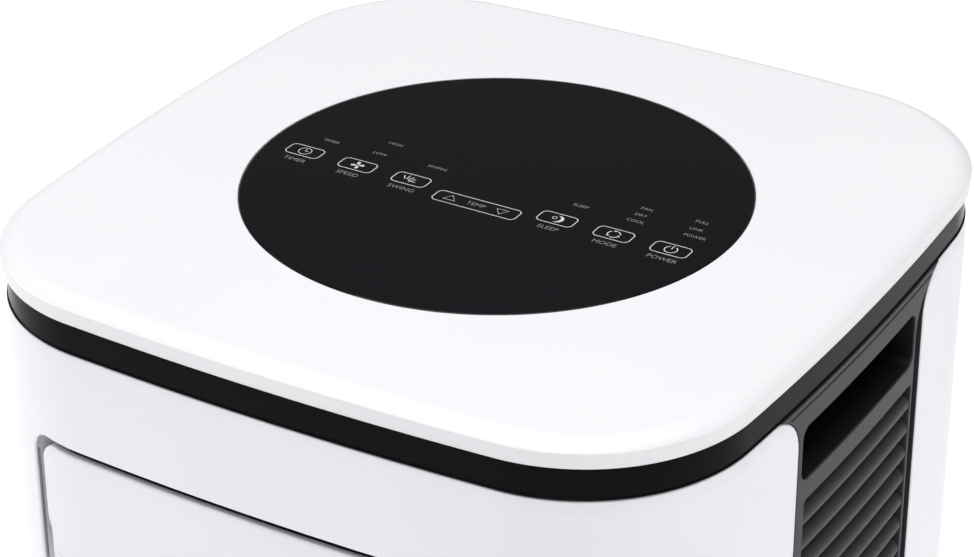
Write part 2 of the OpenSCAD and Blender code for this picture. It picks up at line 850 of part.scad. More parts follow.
module fan_wheel(r, w, y_back, z, shaft_y0) {
  ring_w = 13;
  color([0.15, 0.15, 0.16])
    translate([0, 0, z])
      union() {
        rod_y(r, 0, 0, y_back, y_back + 2, 96);
        rod_y(12, 0, 0, y_back, y_back + 16);
        difference() {
          rod_y(r, 0, 0, y_back + w - 3, y_back + w, 96);
          rod_y(r - 3, 0, 0, y_back, y_back + w + 1, 96);
        }
        for (i = [0 : blade_count - 1])
          rotate([0, i * 360 / blade_count, 0])
            translate([0, 0, r - 1.5])
              rotate([0, 32, 0])
                block([-0.7, y_back + 1, -ring_w], [0.7, y_back + w - 1, 0]);
        rod_y(shaft_r, 0, 0, shaft_y0, y_back + 1);
      }
}

module fan_motor(y0, y1, z) {
  color([0.62, 0.63, 0.65])
    difference() {
      union() {
        rod_y(motor_r, 0, z, y0, y1 - 4);
        rod_y(motor_r - 8, 0, z, y1 - 5, y1);
        for (a = [45 : 90 : 315])
          translate([0, 0, z]) rotate([0, a, 0])
            block([-5, y1 - 6, motor_r - 10], [5, y1, motor_r + 3]);
      }
      rod_y(shaft_r + run_fit, 0, z, y0 + 6, y1 + 1);
    }
}

upper_motor_y1 = scroll_y0;
upper_motor_y0 = upper_motor_y1 - motor_l;
lower_motor_y1 = lower_scroll_y0;
lower_motor_y0 = lower_motor_y1 - motor_l;

module upper_fan_wheel() {
  fan_wheel(upper_wheel_r, upper_wheel_w, scroll_y0 + scroll_wall + 3, upper_fan_z, upper_motor_y0 + 7);
}

module upper_fan_motor() {
  fan_motor(upper_motor_y0, upper_motor_y1, upper_fan_z);
}

module lower_fan_wheel() {
  fan_wheel(lower_wheel_r, lower_wheel_w, lower_scroll_y0 + scroll_wall + 3, lower_fan_z, lower_motor_y0 + 7);
}

module lower_fan_motor() {
  fan_motor(lower_motor_y0, lower_motor_y1, lower_fan_z);
}

// The lower housing carries the chamber that the exhaust collar leaves from
chamber_x = collar_r + 9;
chamber_z0 = collar_z - collar_r - 2;
chamber_z1 = collar_z + collar_r + 2;
chamber_y1 = 154;

module lower_space(g) {
  translate([0, lower_fan_z]) volute(lower_wheel_r, g, chamber_z0 - lower_fan_z + 5);
}

module chamber_space(g) {
  translate([-chamber_x - g, chamber_z0 - g]) square([2 * (chamber_x + 4) + 2 * g, chamber_z1 - chamber_z0 + 2 * g]);
}

module lower_scroll() {
  w = scroll_wall;
  y0 = lower_scroll_y0;
  y1 = lower_scroll_y1;
  color([0.7, 0.71, 0.73]) {
    difference() {
      union() {
        along_y(y0, y1) lower_space(w);
        along_y(y0, chamber_y1) chamber_space(w);
      }
      along_y(y0 + w, y1 - w) lower_space(0);
      along_y(y0 + w, chamber_y1 - w) chamber_space(0);
      rod_y(lower_wheel_r - 13, 0, lower_fan_z, y1 - 5, y1 + 5, 96);
      rod_y(shaft_r + 4, 0, lower_fan_z, y0 - 5, y0 + 5);
      rod_y(collar_r + seam, 0, collar_z, chamber_y1 - 10, chamber_y1 + 10, 128);
    }
    for (x = [-24, 24])
      block([x - 6, y0, tray_top], [x + 6, y1, lower_fan_z - lower_wheel_r - 8]);
  }
}

collar_y1 = half_d - shell_inset - 1.8;
collar_y0 = chamber_y1 - 8;

module exhaust_collar() {
  color([0.9, 0.9, 0.92])
    difference() {
      union() {
        rod_y(collar_r, 0, collar_z, collar_y0, collar_y1, 128);
        rod_y(collar_r + 4, 0, collar_z, chamber_y1, chamber_y1 + 2.5, 128);
      }
      rod_y(exhaust_r, 0, collar_z, collar_y0 - 1, collar_y1 + 1, 128);
    }
}

// Partition between the warm and the cold side, with the condensate pan
pan_y0 = evap_y - 5;
pan_y1 = evap_y + coil_t + 12;
pan_x = coil_w / 2 + 16;

// Notch that clears a side grille's slats
module deck_notch(s) {
  translate([s * half_w, (slat_y0 + slat_y1) / 2, deck_z])
    cube([2 * (slat_depth + seam), slat_w + 2 * slat_rail + 2 * seam, 4 * deck_t], center = true);
}

module drip_deck() {
  color([0.8, 0.8, 0.82])
    difference() {
      union() {
        prism(tray_inset, deck_z, deck_z + deck_t);
        block([-pan_x, pan_y0, deck_z], [pan_x, pan_y1, deck_z + deck_t + pan_h]);
        rod_y(drain_boss_r, upper_drain.x, upper_drain.y, pan_y1 - 1, face_y(upper_drain.x, shell_inset + 1));
      }
      block([-pan_x + 2, pan_y0 + 2, deck_z + deck_t], [pan_x - 2, pan_y1 - 2, deck_z + 60]);
      for (s = [-1, 1]) deck_notch(s);
      rod_y(drain_r, upper_drain.x, upper_drain.y, pan_y1 - 5, half_d + 5);
      for (y = [suction_y, liquid_y])
        translate([riser_x, y, deck_z - 1]) cylinder(r = pipe_r + 1.5, h = deck_t + 2, $fn = 32);
      translate([box_x1 - 20, box_y1 - 20, deck_z - 1]) cylinder(r = box_cable_r, h = deck_t + 2, $fn = 32);
    }
}

// Intake grilles at the rear, each with its filter
bar_pitch = 12;
bar_gap = 7;
filter_y = 158;
filter_t = 4;

module intake_grille(z0, z1) {
  x = intake_x - seam;
  rows = floor((z1 - z0 - 16) / bar_pitch);
  color([0.9, 0.9, 0.92])
    difference() {
      union() {
        intersection() {
          ring(shell_inset, wall, z0, z1);
          window(-x, x, z0 + seam, z1 - seam, intake_r, half_d / 2, half_d + 5);
        }
        intersection() {
          prism(shell_inset + 1, z0, z1);
          difference() {
            block([-x + 3, filter_y + filter_t, z0 + 3], [x - 3, half_d, z1 - 3]);
            block([-x + 5, 0, z0 + 5], [x - 5, half_d + 1, z1 - 5]);
          }
        }
      }
      for (i = [0 : rows - 1], c = [-1 : 1])
        window(c * 63 - 28, c * 63 + 28, z0 + 10 + i * bar_pitch, z0 + 10 + i * bar_pitch + bar_gap, 3,
               half_d / 2, half_d + 5);
    }
}

module filter_frame(z0, z1) {
  x = intake_x - seam;
  color([0.2, 0.2, 0.21]) {
    difference() {
      block([-x + 3, filter_y, z0 + 3], [x - 3, filter_y + filter_t, z1 - 3]);
      block([-x + 9, filter_y - 1, z0 + 9], [x - 9, filter_y + filter_t + 1, z1 - 9]);
    }
    block([-x + 8, filter_y + 1.5, z0 + 8], [x - 8, filter_y + 2.1, z1 - 8]);
    for (i = [-1 : 1])
      block([i * 50 - 1, filter_y, z0 + 8], [i * 50 + 1, filter_y + 3, z1 - 8]);
  }
}

module upper_intake_grille() {
  intake_grille(upper_intake_z0, upper_intake_z1);
}

module upper_filter() {
  filter_frame(upper_intake_z0, upper_intake_z1);
}

module lower_intake_grille() {
  intake_grille(lower_intake_z0, lower_intake_z1);
}

module lower_filter() {
  filter_frame(lower_intake_z0, lower_intake_z1);
}

// Cooling circuit
comp_at = [-84, -66];
comp_foot_r = comp_r + 12;
comp_feet_angles = [80, 200, 320];
comp_z0 = tray_top + 12;
comp_z1 = comp_z0 + comp_h;
accu_at = [comp_at.x + comp_r + accu_r + 6, comp_at.y - 6];
accu_z0 = comp_z0 + 40;
tube_end_x = -coil_w / 2 - coil_end;
riser_x = tube_end_x - 27;
suction_y = 72;
liquid_y = 100;

module compressor() {
  color([0.1, 0.1, 0.11])
    translate([comp_at.x, comp_at.y, 0]) {
      translate([0, 0, comp_z0 + 4])
        rotate_extrude($fn = 96)
          polygon([[0, 0], [comp_r - 8, 0], [comp_r, 6], [comp_r, comp_h - 24],
                   [comp_r - 12, comp_h - 10], [comp_r - 26, comp_h - 4], [0, comp_h - 4]]);
      difference() {
        union() {
          translate([0, 0, comp_z0]) cylinder(r = comp_r - 4, h = 5);
          for (a = comp_feet_angles)
            rotate(a) block([10, -11, comp_z0], [comp_foot_r + 10, 11, comp_z0 + 4]);
        }
        for (a = comp_feet_angles)
          rotate(a) translate([comp_foot_r, 0, comp_z0 - 1]) cylinder(r = 6 + run_fit, h = 6, $fn = 48);
      }
    }
}

// Rubber feet with their studs, one under each of the compressor's lugs
module compressor_feet() {
  color([0.08, 0.08, 0.08])
    translate([comp_at.x, comp_at.y, 0])
      for (a = comp_feet_angles)
        rotate(a) translate([comp_foot_r, 0, 0]) {
          translate([0, 0, tray_top]) cylinder(r = 9, h = comp_z0 - tray_top);
          translate([0, 0, comp_z0 - 1]) cylinder(r = 6, h = 8);
          translate([0, 0, comp_z0 + 4]) cylinder(r = 9, h = 3);
          translate([0, 0, tray_z]) cylinder(r = 2.4, h = 10, $fn = 24);
        }
}

module accumulator() {
  color([0.11, 0.11, 0.12])
    translate([accu_at.x, accu_at.y, accu_z0]) {
      rotate_extrude($fn = 64)
        polygon([[0, 0], [8, 0], [accu_r, 12], [accu_r, accu_h - 12], [8, accu_h], [0, accu_h]]);
      translate([-accu_r - 5, -7, accu_h / 2 - 8]) cube([8, 14, 16]);
    }
}

// Hot gas from the compressor to the condenser's upper tube
module discharge_pipe() {
  top = comp_z1 + 16;
  end = row_z(cond_z0, cond_rows - 1);
  down_x = tube_end_x - 10;
  color([0.72, 0.45, 0.3])
    pipe([[comp_at.x, comp_at.y, comp_z1], [comp_at.x, comp_at.y, top], [down_x, comp_at.y, top],
          [down_x, cond_mid, top], [down_x, cond_mid, end], [tube_end_x, cond_mid, end]], pipe_r);
}

// Cold gas from the evaporator's upper tube to the accumulator
module suction_pipe() {
  low = deck_z - 20;
  top = row_z(evap_z0, evap_rows - 1);
  color([0.72, 0.45, 0.3])
    pipe([[tube_end_x, evap_mid, top], [riser_x, evap_mid, top], [riser_x, suction_y, top],
          [riser_x, suction_y, low], [riser_x, -10, low], [accu_at.x, -10, low],
          [accu_at.x, accu_at.y, low], [accu_at.x, accu_at.y, accu_z0 + accu_h]], pipe_r + 0.5);
}

// Liquid line from the condenser's lower tube, through the drier, to the evaporator's lower tube
liquid_r = 3;
drier_r = 9;
drier_l = 60;

module capillary_line() {
  low = row_z(cond_z0, 0);
  high = row_z(evap_z0, 0);
  drier_z = (collar_z + low) / 2;
  color([0.74, 0.48, 0.32]) {
    translate([riser_x, liquid_y, drier_z - drier_l / 2])
      rotate_extrude($fn = 48)
        polygon([[0, 0], [liquid_r, 0], [drier_r, 8], [drier_r, drier_l - 8], [liquid_r, drier_l], [0, drier_l]]);
    pipe([[tube_end_x, cond_mid, low], [riser_x, cond_mid, low], [riser_x, liquid_y, low],
          [riser_x, liquid_y, high], [riser_x, evap_mid, high], [tube_end_x, evap_mid, high]], liquid_r);
  }
}

// Slinger: a small wheel that throws condensate onto the condenser
slinger_at = [76, tray_top + 24];
slinger_r = 19;
slinger_y = cond_y - 7;

module slinger_wheel() {
  color([0.85, 0.85, 0.87]) {
    rod_y(slinger_r - 4, slinger_at.x, slinger_at.y, slinger_y, slinger_y + 2);
    for (a = [0 : 45 : 315])
      translate([slinger_at.x, 0, slinger_at.y]) rotate([0, a, 0])
        block([-1, slinger_y, 8], [1, slinger_y + 4, slinger_r]);
    rod_y(2, slinger_at.x, slinger_at.y, slinger_y - 16, slinger_y + 1, 32);
  }
}

module slinger_motor() {
  color([0.6, 0.61, 0.63])
    difference() {
      union() {
        rod_y(13, slinger_at.x, slinger_at.y, slinger_y - 24, slinger_y - 3);
        block([slinger_at.x - 8, slinger_y - 22, tray_top], [slinger_at.x + 8, slinger_y - 5, slinger_at.y]);
      }
      rod_y(2 + run_fit, slinger_at.x, slinger_at.y, slinger_y - 18, slinger_y, 32);
    }
}

// Level switch: a float that rises on a stem when the tray is full
float_at = [-134, 30];
float_travel = 10;
float_h = 12;

module float_switch() {
  color([0.85, 0.85, 0.87])
    translate([float_at.x, float_at.y, tray_top]) {
      cylinder(r = 7, h = 3);
      cylinder(r = 2.5, h = 40, $fn = 32);
      translate([0, 0, 3 + float_h + float_travel + 1]) cylinder(r = 7, h = 14);
    }
}

module float() {
  color([0.95, 0.75, 0.2])
    translate([float_at.x, float_at.y, tray_top + 3])
      difference() {
        cylinder(r = 9, h = float_h);
        translate([0, 0, -1]) cylinder(r = 2.5 + 0.1, h = float_h + 2, $fn = 32);
      }
}

// Drain caps
cap_plug_l = 6;

module drain_cap(at) {
  y = face_y(at.x, shell_inset + 1);
  color([0.2, 0.2, 0.21]) {
    rod_y(drain_r - 0.1, at.x, at.y, y - cap_plug_l, y + 0.5);
    rod_y(drain_boss_r - 0.2, at.x, at.y, y + run_fit, y + 1.2);
  }
}

module drain_cap_upper() {
  drain_cap(upper_drain);
}

module drain_cap_lower() {
  drain_cap(lower_drain);
}

gland_l = 16;

module cord_gland() {
  y = face_y(gland_at.x - gland_r, shell_inset);
  color([0.15, 0.15, 0.16])
    difference() {
      union() {
        rod_y(gland_r, gland_at.x, gland_at.y, y - gland_l + 1, y + 0.6);
        rod_y(gland_r + 3, gland_at.x, gland_at.y, y - wall - 6, y - wall - 3);
      }
      rod_y(cord_r, gland_at.x, gland_at.y, y - gland_l, y + 5, 48);
    }
}

// Electrical box under the deck, with its board and the compressor's capacitor
box_x0 = 56;
box_x1 = 140;
box_y0 = -108;
box_y1 = -28;
box_h = 170;
box_wall = 2;
box_cable_r = 8;
box_z1 = deck_z;
box_z0 = deck_z - box_h;

module electrical_box() {
  color([0.75, 0.76, 0.78])
    difference() {
      block([box_x0, box_y0, box_z0], [box_x1, box_y1, box_z1]);
      block([box_x0 + box_wall, box_y0 + box_wall, box_z0 + box_wall],
            [box_x1 - box_wall, box_y1 - box_wall, box_z1 - box_wall]);
      translate([box_x1 - 20, box_y1 - 20, box_z1 - 5]) cylinder(r = box_cable_r, h = 10, $fn = 32);
    }
}

module main_board() {
  y = box_y0 + box_wall;
  color([0.1, 0.35, 0.18]) {
    block([box_x0 + 6, y + 5, box_z0 + 10], [box_x1 - 6, y + 6.6, box_z1 - 12]);
    for (sx = [box_x0 + 12, box_x1 - 12], sz = [box_z0 + 16, box_z1 - 18])
      rod_y(3, sx, sz, y, y + 5, 32);
    block([box_x0 + 16, y + 6.6, box_z0 + 24], [box_x0 + 40, y + 28, box_z0 + 54]);
    block([box_x0 + 48, y + 6.6, box_z0 + 24], [box_x0 + 66, y + 22, box_z0 + 44]);
    block([box_x0 + 16, y + 6.6, box_z0 + 90], [box_x0 + 62, y + 16, box_z0 + 104]);
  }
}

module run_capacitor() {
  r = 17;
  color([0.78, 0.79, 0.8])
    translate([box_x0 + 44, box_y1 - box_wall - r - 4, box_z0 + box_wall]) {
      cylinder(r = r, h = 76);
      for (s = [-1, 1]) translate([s * 7 - 3, -0.5, 75]) cube([6, 1, 9]);
    }
}

top_lid();
control_glass();
control_board();
neck_band();
front_shell();
rear_shell();
side_grille_right();
side_grille_left();
handle_cup_right();
handle_cup_left();
base_tray();
outlet_duct();
outlet_flap();
flap_motor();
vane(1);  // vane_1
vane(2);  // vane_2
vane(3);  // vane_3
vane(4);  // vane_4
vane(5);  // vane_5
vane_link();
evaporator();
upper_scroll();
upper_fan_wheel();
upper_fan_motor();
drip_deck();
upper_intake_grille();
upper_filter();
condenser();
lower_scroll();
lower_fan_wheel();
lower_fan_motor();
exhaust_collar();
lower_intake_grille();
lower_filter();
compressor();
accumulator();
compressor_feet();
discharge_pipe();
suction_pipe();
capillary_line();
slinger_wheel();
slinger_motor();
float_switch();
float();
drain_cap_upper();
drain_cap_lower();
cord_gland();
electrical_box();
main_board();
run_capacitor();
case_screws();
caster_fork(1);  // caster_fork_1
caster_fork(2);  // caster_fork_2
caster_fork(3);  // caster_fork_3
caster_fork(4);  // caster_fork_4
caster_wheel(1);  // caster_wheel_1
caster_wheel(2);  // caster_wheel_2
caster_wheel(3);  // caster_wheel_3
caster_wheel(4);  // caster_wheel_4
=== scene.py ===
"""The finished look of a portable air conditioner: its moulded shells, grilles, flap, lid and control glass, and the
finishes of the parts inside. Sizes are in millimetres and turn to metres where a mesh is made."""

import json
import math

import bpy
import numpy as np
from mathutils import Matrix, Vector
from mathutils.geometry import delaunay_2d_cdt


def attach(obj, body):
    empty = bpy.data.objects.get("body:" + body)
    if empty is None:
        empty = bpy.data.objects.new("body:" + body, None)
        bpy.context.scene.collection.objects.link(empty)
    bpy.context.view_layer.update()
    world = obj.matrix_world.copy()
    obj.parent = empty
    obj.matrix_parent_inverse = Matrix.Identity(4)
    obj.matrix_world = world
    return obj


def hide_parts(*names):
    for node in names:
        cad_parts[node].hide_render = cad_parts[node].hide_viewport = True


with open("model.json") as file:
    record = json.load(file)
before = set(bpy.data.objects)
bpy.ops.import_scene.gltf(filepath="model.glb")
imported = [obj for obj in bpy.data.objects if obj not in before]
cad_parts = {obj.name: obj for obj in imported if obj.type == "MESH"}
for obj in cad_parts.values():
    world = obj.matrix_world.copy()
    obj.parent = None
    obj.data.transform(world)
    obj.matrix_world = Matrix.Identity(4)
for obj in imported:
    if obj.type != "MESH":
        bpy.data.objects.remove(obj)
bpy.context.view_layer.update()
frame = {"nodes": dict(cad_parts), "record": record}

MM = 0.001
CABINET = "cabinet"

# Body: half sizes, heights, and how deep each face lies behind the lid's edge
HALF_W, HALF_D, TOP = 170.0, 171.0, 700.0
CORNER_R, SIDE_BOW = 75.0, 9.6
LID_Z, NECK_Z, SHELL_TOP, SKIRT_Z = 689.5, 675.5, 675.2, 42.0
SHELL_FACE, GRILLE_FACE, NECK_FACE = 0.7, 1.0, 1.9
WALL, LID_T, NECK_FLANGE = 2.5, 3.5, 22.0
GLASS_R, GLASS_T, GLASS_LEDGE = 107.0, 3.0, 5.0

# Sides, by distance from their middle and by height
FRONT_EDGE, REAR_EDGE, SIDE_R, SKIRT_R = -57.5, 62.0, 20.0, 4.0
GROOVE_W, GROOVE_D = 6.5, 4.0
POCKET = (-53.5, 53.0, 638.0, 662.5)
SLATS = (-50.0, 53.0, 88.0, 628.0)
SLAT_PITCH, SLAT_DEPTH = 12.0, 10.0
SEAM_DROP, SEAM_W = 2.9, 0.35
POST_IN, POST_W = 34.3, 2.0

# Front
OUTLET = (125.5, 505.0, 630.0, 11.0)
FLAP = (118.7, 512.0, 626.2, 6.5)
FLAP_T, FLAP_PIVOT, ARM_X, ARM_T = 3.0, (-129.3, 540.0), 110.7, 3.0
PIN_R, ARM_R, FLAP_STEP_Z = 2.5, 7.0, 588.0

# Rear
INTAKES = ((404.0, 632.0), (90.0, 242.0))
INTAKE_X, INTAKE_R = 104.0, 8.0
BORES = ((0.0, 314.0, 64.3), (62.0, 68.0, 8.3), (-86.0, 391.0, 8.3), (-88.0, 262.0, 8.05))


# Camera: turn, rise and roll in degrees, lens in mm, distance and shifts from the lid's middle in metres
TURN, RISE, ROLL, LENS = 30.724, 28.946, -0.251, 112.36
AWAY, SHIFT_RIGHT, SHIFT_UP = 1.2622, -0.00406, -0.03795


def make_camera():
    turn, rise, roll = math.radians(TURN), math.radians(RISE), math.radians(ROLL)
    back = Vector((math.sin(turn) * math.cos(rise), -math.cos(turn) * math.cos(rise), math.sin(rise)))
    level = Vector((0, 0, 1)).cross(back).normalized()
    upright = back.cross(level)
    right = level * math.cos(roll) + upright * math.sin(roll)
    up = upright * math.cos(roll) - level * math.sin(roll)
    data = bpy.data.cameras.new("camera")
    data.sensor_width = 36
    data.lens = LENS
    data.clip_start, data.clip_end = 0.05, 50
    camera = bpy.data.objects.new("camera", data)
    camera.matrix_world = Matrix((right, up, back)).transposed().to_4x4()
    camera.location = Vector((0, 0, TOP * MM)) + back * AWAY + right * SHIFT_RIGHT + up * SHIFT_UP
    bpy.context.scene.collection.objects.link(camera)
    bpy.context.scene.camera = camera


make_camera()


# Outline: bowed faces and sides joined by tangent corners, followed anticlockwise from the middle of the front


def meet(a, ra, b, rb):
    step = b - a
    d = np.hypot(*step)
    along = (ra * ra - rb * rb + d * d) / (2 * d)
    return a + along * step / d + math.sqrt(ra * ra - along * along) * np.array([-step[1], step[0]]) / d


def make_arcs():
    front_r = (HALF_W**2 + SIDE_BOW**2) / (2 * SIDE_BOW)
    side_r = (HALF_D**2 + SIDE_BOW**2) / (2 * SIDE_BOW)
    side = np.array([HALF_W - side_r, 0.0])
    rear = np.array([0.0, HALF_D - front_r])
    corner = meet(side, side_r - CORNER_R, rear, front_r - CORNER_R)
    low = math.atan2(corner[1], corner[0] - side[0])
    high = math.atan2(corner[1] - rear[1], corner[0])
    right = math.pi / 2
    cx, cy = corner
    arcs = [
        ((0, -rear[1]), front_r, -right, -high),
        ((cx, -cy), CORNER_R, -high, -low),
        (side, side_r, -low, low),
        ((cx, cy), CORNER_R, low, high),
        (rear, front_r, high, math.pi - high),
        ((-cx, cy), CORNER_R, math.pi - high, math.pi - low),
        (-side, side_r, math.pi - low, math.pi + low),
        ((-cx, -cy), CORNER_R, math.pi + low, math.pi + high),
        ((0, -rear[1]), front_r, math.pi + high, math.pi + right),
    ]
    return arcs, front_r, side_r


ARCS, FRONT_R, SIDE_BOW_R = make_arcs()
ARC_C = np.array([a[0] for a in ARCS], float)
ARC_R = np.array([a[1] for a in ARCS])
ARC_A = np.array([a[2] for a in ARCS])
ARC_LEN = np.array([a[1] * (a[3] - a[2]) for a in ARCS])
ARC_START = np.concatenate([[0], np.cumsum(ARC_LEN)[:-1]])
GIRTH = ARC_LEN.sum()
SIDE_MID, REAR_MID = GIRTH / 4, GIRTH / 2


def round_body(u):
    """Centre, radius and outward direction of the outline at the distances u round it."""
    u = np.mod(np.asarray(u, float), GIRTH)
    k = np.clip(np.searchsorted(ARC_START, u, side="right") - 1, 0, len(ARCS) - 1)
    a = ARC_A[k] + (u - ARC_START[k]) / ARC_R[k]
    return ARC_C[k], ARC_R[k], np.stack([np.cos(a), np.sin(a)], 1)


def on_front(x):
    return FRONT_R * math.asin(x / (FRONT_R - SHELL_FACE))


def on_side(y):
    return SIDE_MID + SIDE_BOW_R * math.asin(y / (SIDE_BOW_R - SHELL_FACE))


def on_rear(x):
    return REAR_MID - FRONT_R * math.asin(x / (FRONT_R - SHELL_FACE))


def steps_round():
    """Distances round the whole outline, close together on the corners."""
    out = []
    for start, length, r in zip(ARC_START, ARC_LEN, ARC_R):
        n = max(2, math.ceil(length / (2.5 if r < 100 else 12)))
        out += [start + length * i / n for i in range(n)]
    return np.array(out)


def rounded(corners, grow=0.0, cell=3.0):
    """A closed shape with rounded corners (u, z, radius), listed anticlockwise and moved outwards by grow: its points
    and the outward direction at each. The number of points doesn't depend on grow."""
    v = np.array([c[:2] for c in corners], float)
    r = [c[2] for c in corners]
    n = len(v)
    d = np.roll(v, -1, 0) - v
    d /= np.hypot(d[:, 0], d[:, 1])[:, None]
    out = np.stack([d[:, 1], -d[:, 0]], 1)

    def tangents(g):
        moved, ends = [], []
        for i in range(n):
            a, b = out[i - 1], out[i]
            p = v[i] + g * (a + b) / (1 + a @ b)
            turn = math.atan2(d[i - 1][0] * d[i][1] - d[i - 1][1] * d[i][0], d[i - 1] @ d[i])
            side = 1 if turn > 0 else -1
            rr = max(r[i] + side * g, 0.02) if r[i] > 0 else 0.02
            t = rr * math.tan(abs(turn) / 2)
            moved.append((p, side, rr))
            ends.append((p - d[i - 1] * t, p + d[i] * t))
        return moved, ends

    base = tangents(0.0)[1]
    moved, ends = tangents(grow)
    points, ways = [], []
    for i in range(n):
        (p0, p1), (_, side, rr) = ends[i], moved[i]
        centre = p0 - side * rr * out[i - 1]
        k = 9 if r[i] > 0 else 1
        a0 = math.atan2(*(p0 - centre)[::-1])
        sweep = math.atan2(*(p1 - centre)[::-1]) - a0
        sweep = (sweep + math.pi) % (2 * math.pi) - math.pi
        for j in range(k + 1):
            a = a0 + sweep * j / k
            way = np.array([math.cos(a), math.sin(a)])
            points.append(centre + rr * way)
            ways.append(side * way)
        after = ends[(i + 1) % n][0]
        flat = np.hypot(*(base[(i + 1) % n][0] - base[i][1]))
        m = max(1, math.ceil(flat / cell))
        for j in range(1, m):
            points.append(p1 + (after - p1) * j / m)
            ways.append(out[i])
    return np.array(points), np.array(ways)


def box_loop(u0, u1, z0, z1, r):
    return [(u0, z0, r), (u1, z0, r), (u1, z1, r), (u0, z1, r)]


def disc_loop(u, z, r):
    return [(u + r * s / math.cos(math.pi / 8), z + r * t / math.cos(math.pi / 8), r * 0.9)
            for s, t in ((math.cos(a), math.sin(a)) for a in np.arange(8) * math.pi / 4 + math.pi / 8)]


def inside(points, loops):
    hit = np.zeros(len(points), bool)
    for loop in loops:
        a, b = loop, np.roll(loop, -1, 0)
        for (x0, y0), (x1, y1) in zip(a, b):
            if y0 != y1:
                spans = (points[:, 1] >= min(y0, y1)) & (points[:, 1] < max(y0, y1))
                hit ^= spans & (points[:, 0] < x0 + (points[:, 1] - y0) * (x1 - x0) / (y1 - y0))
    return hit


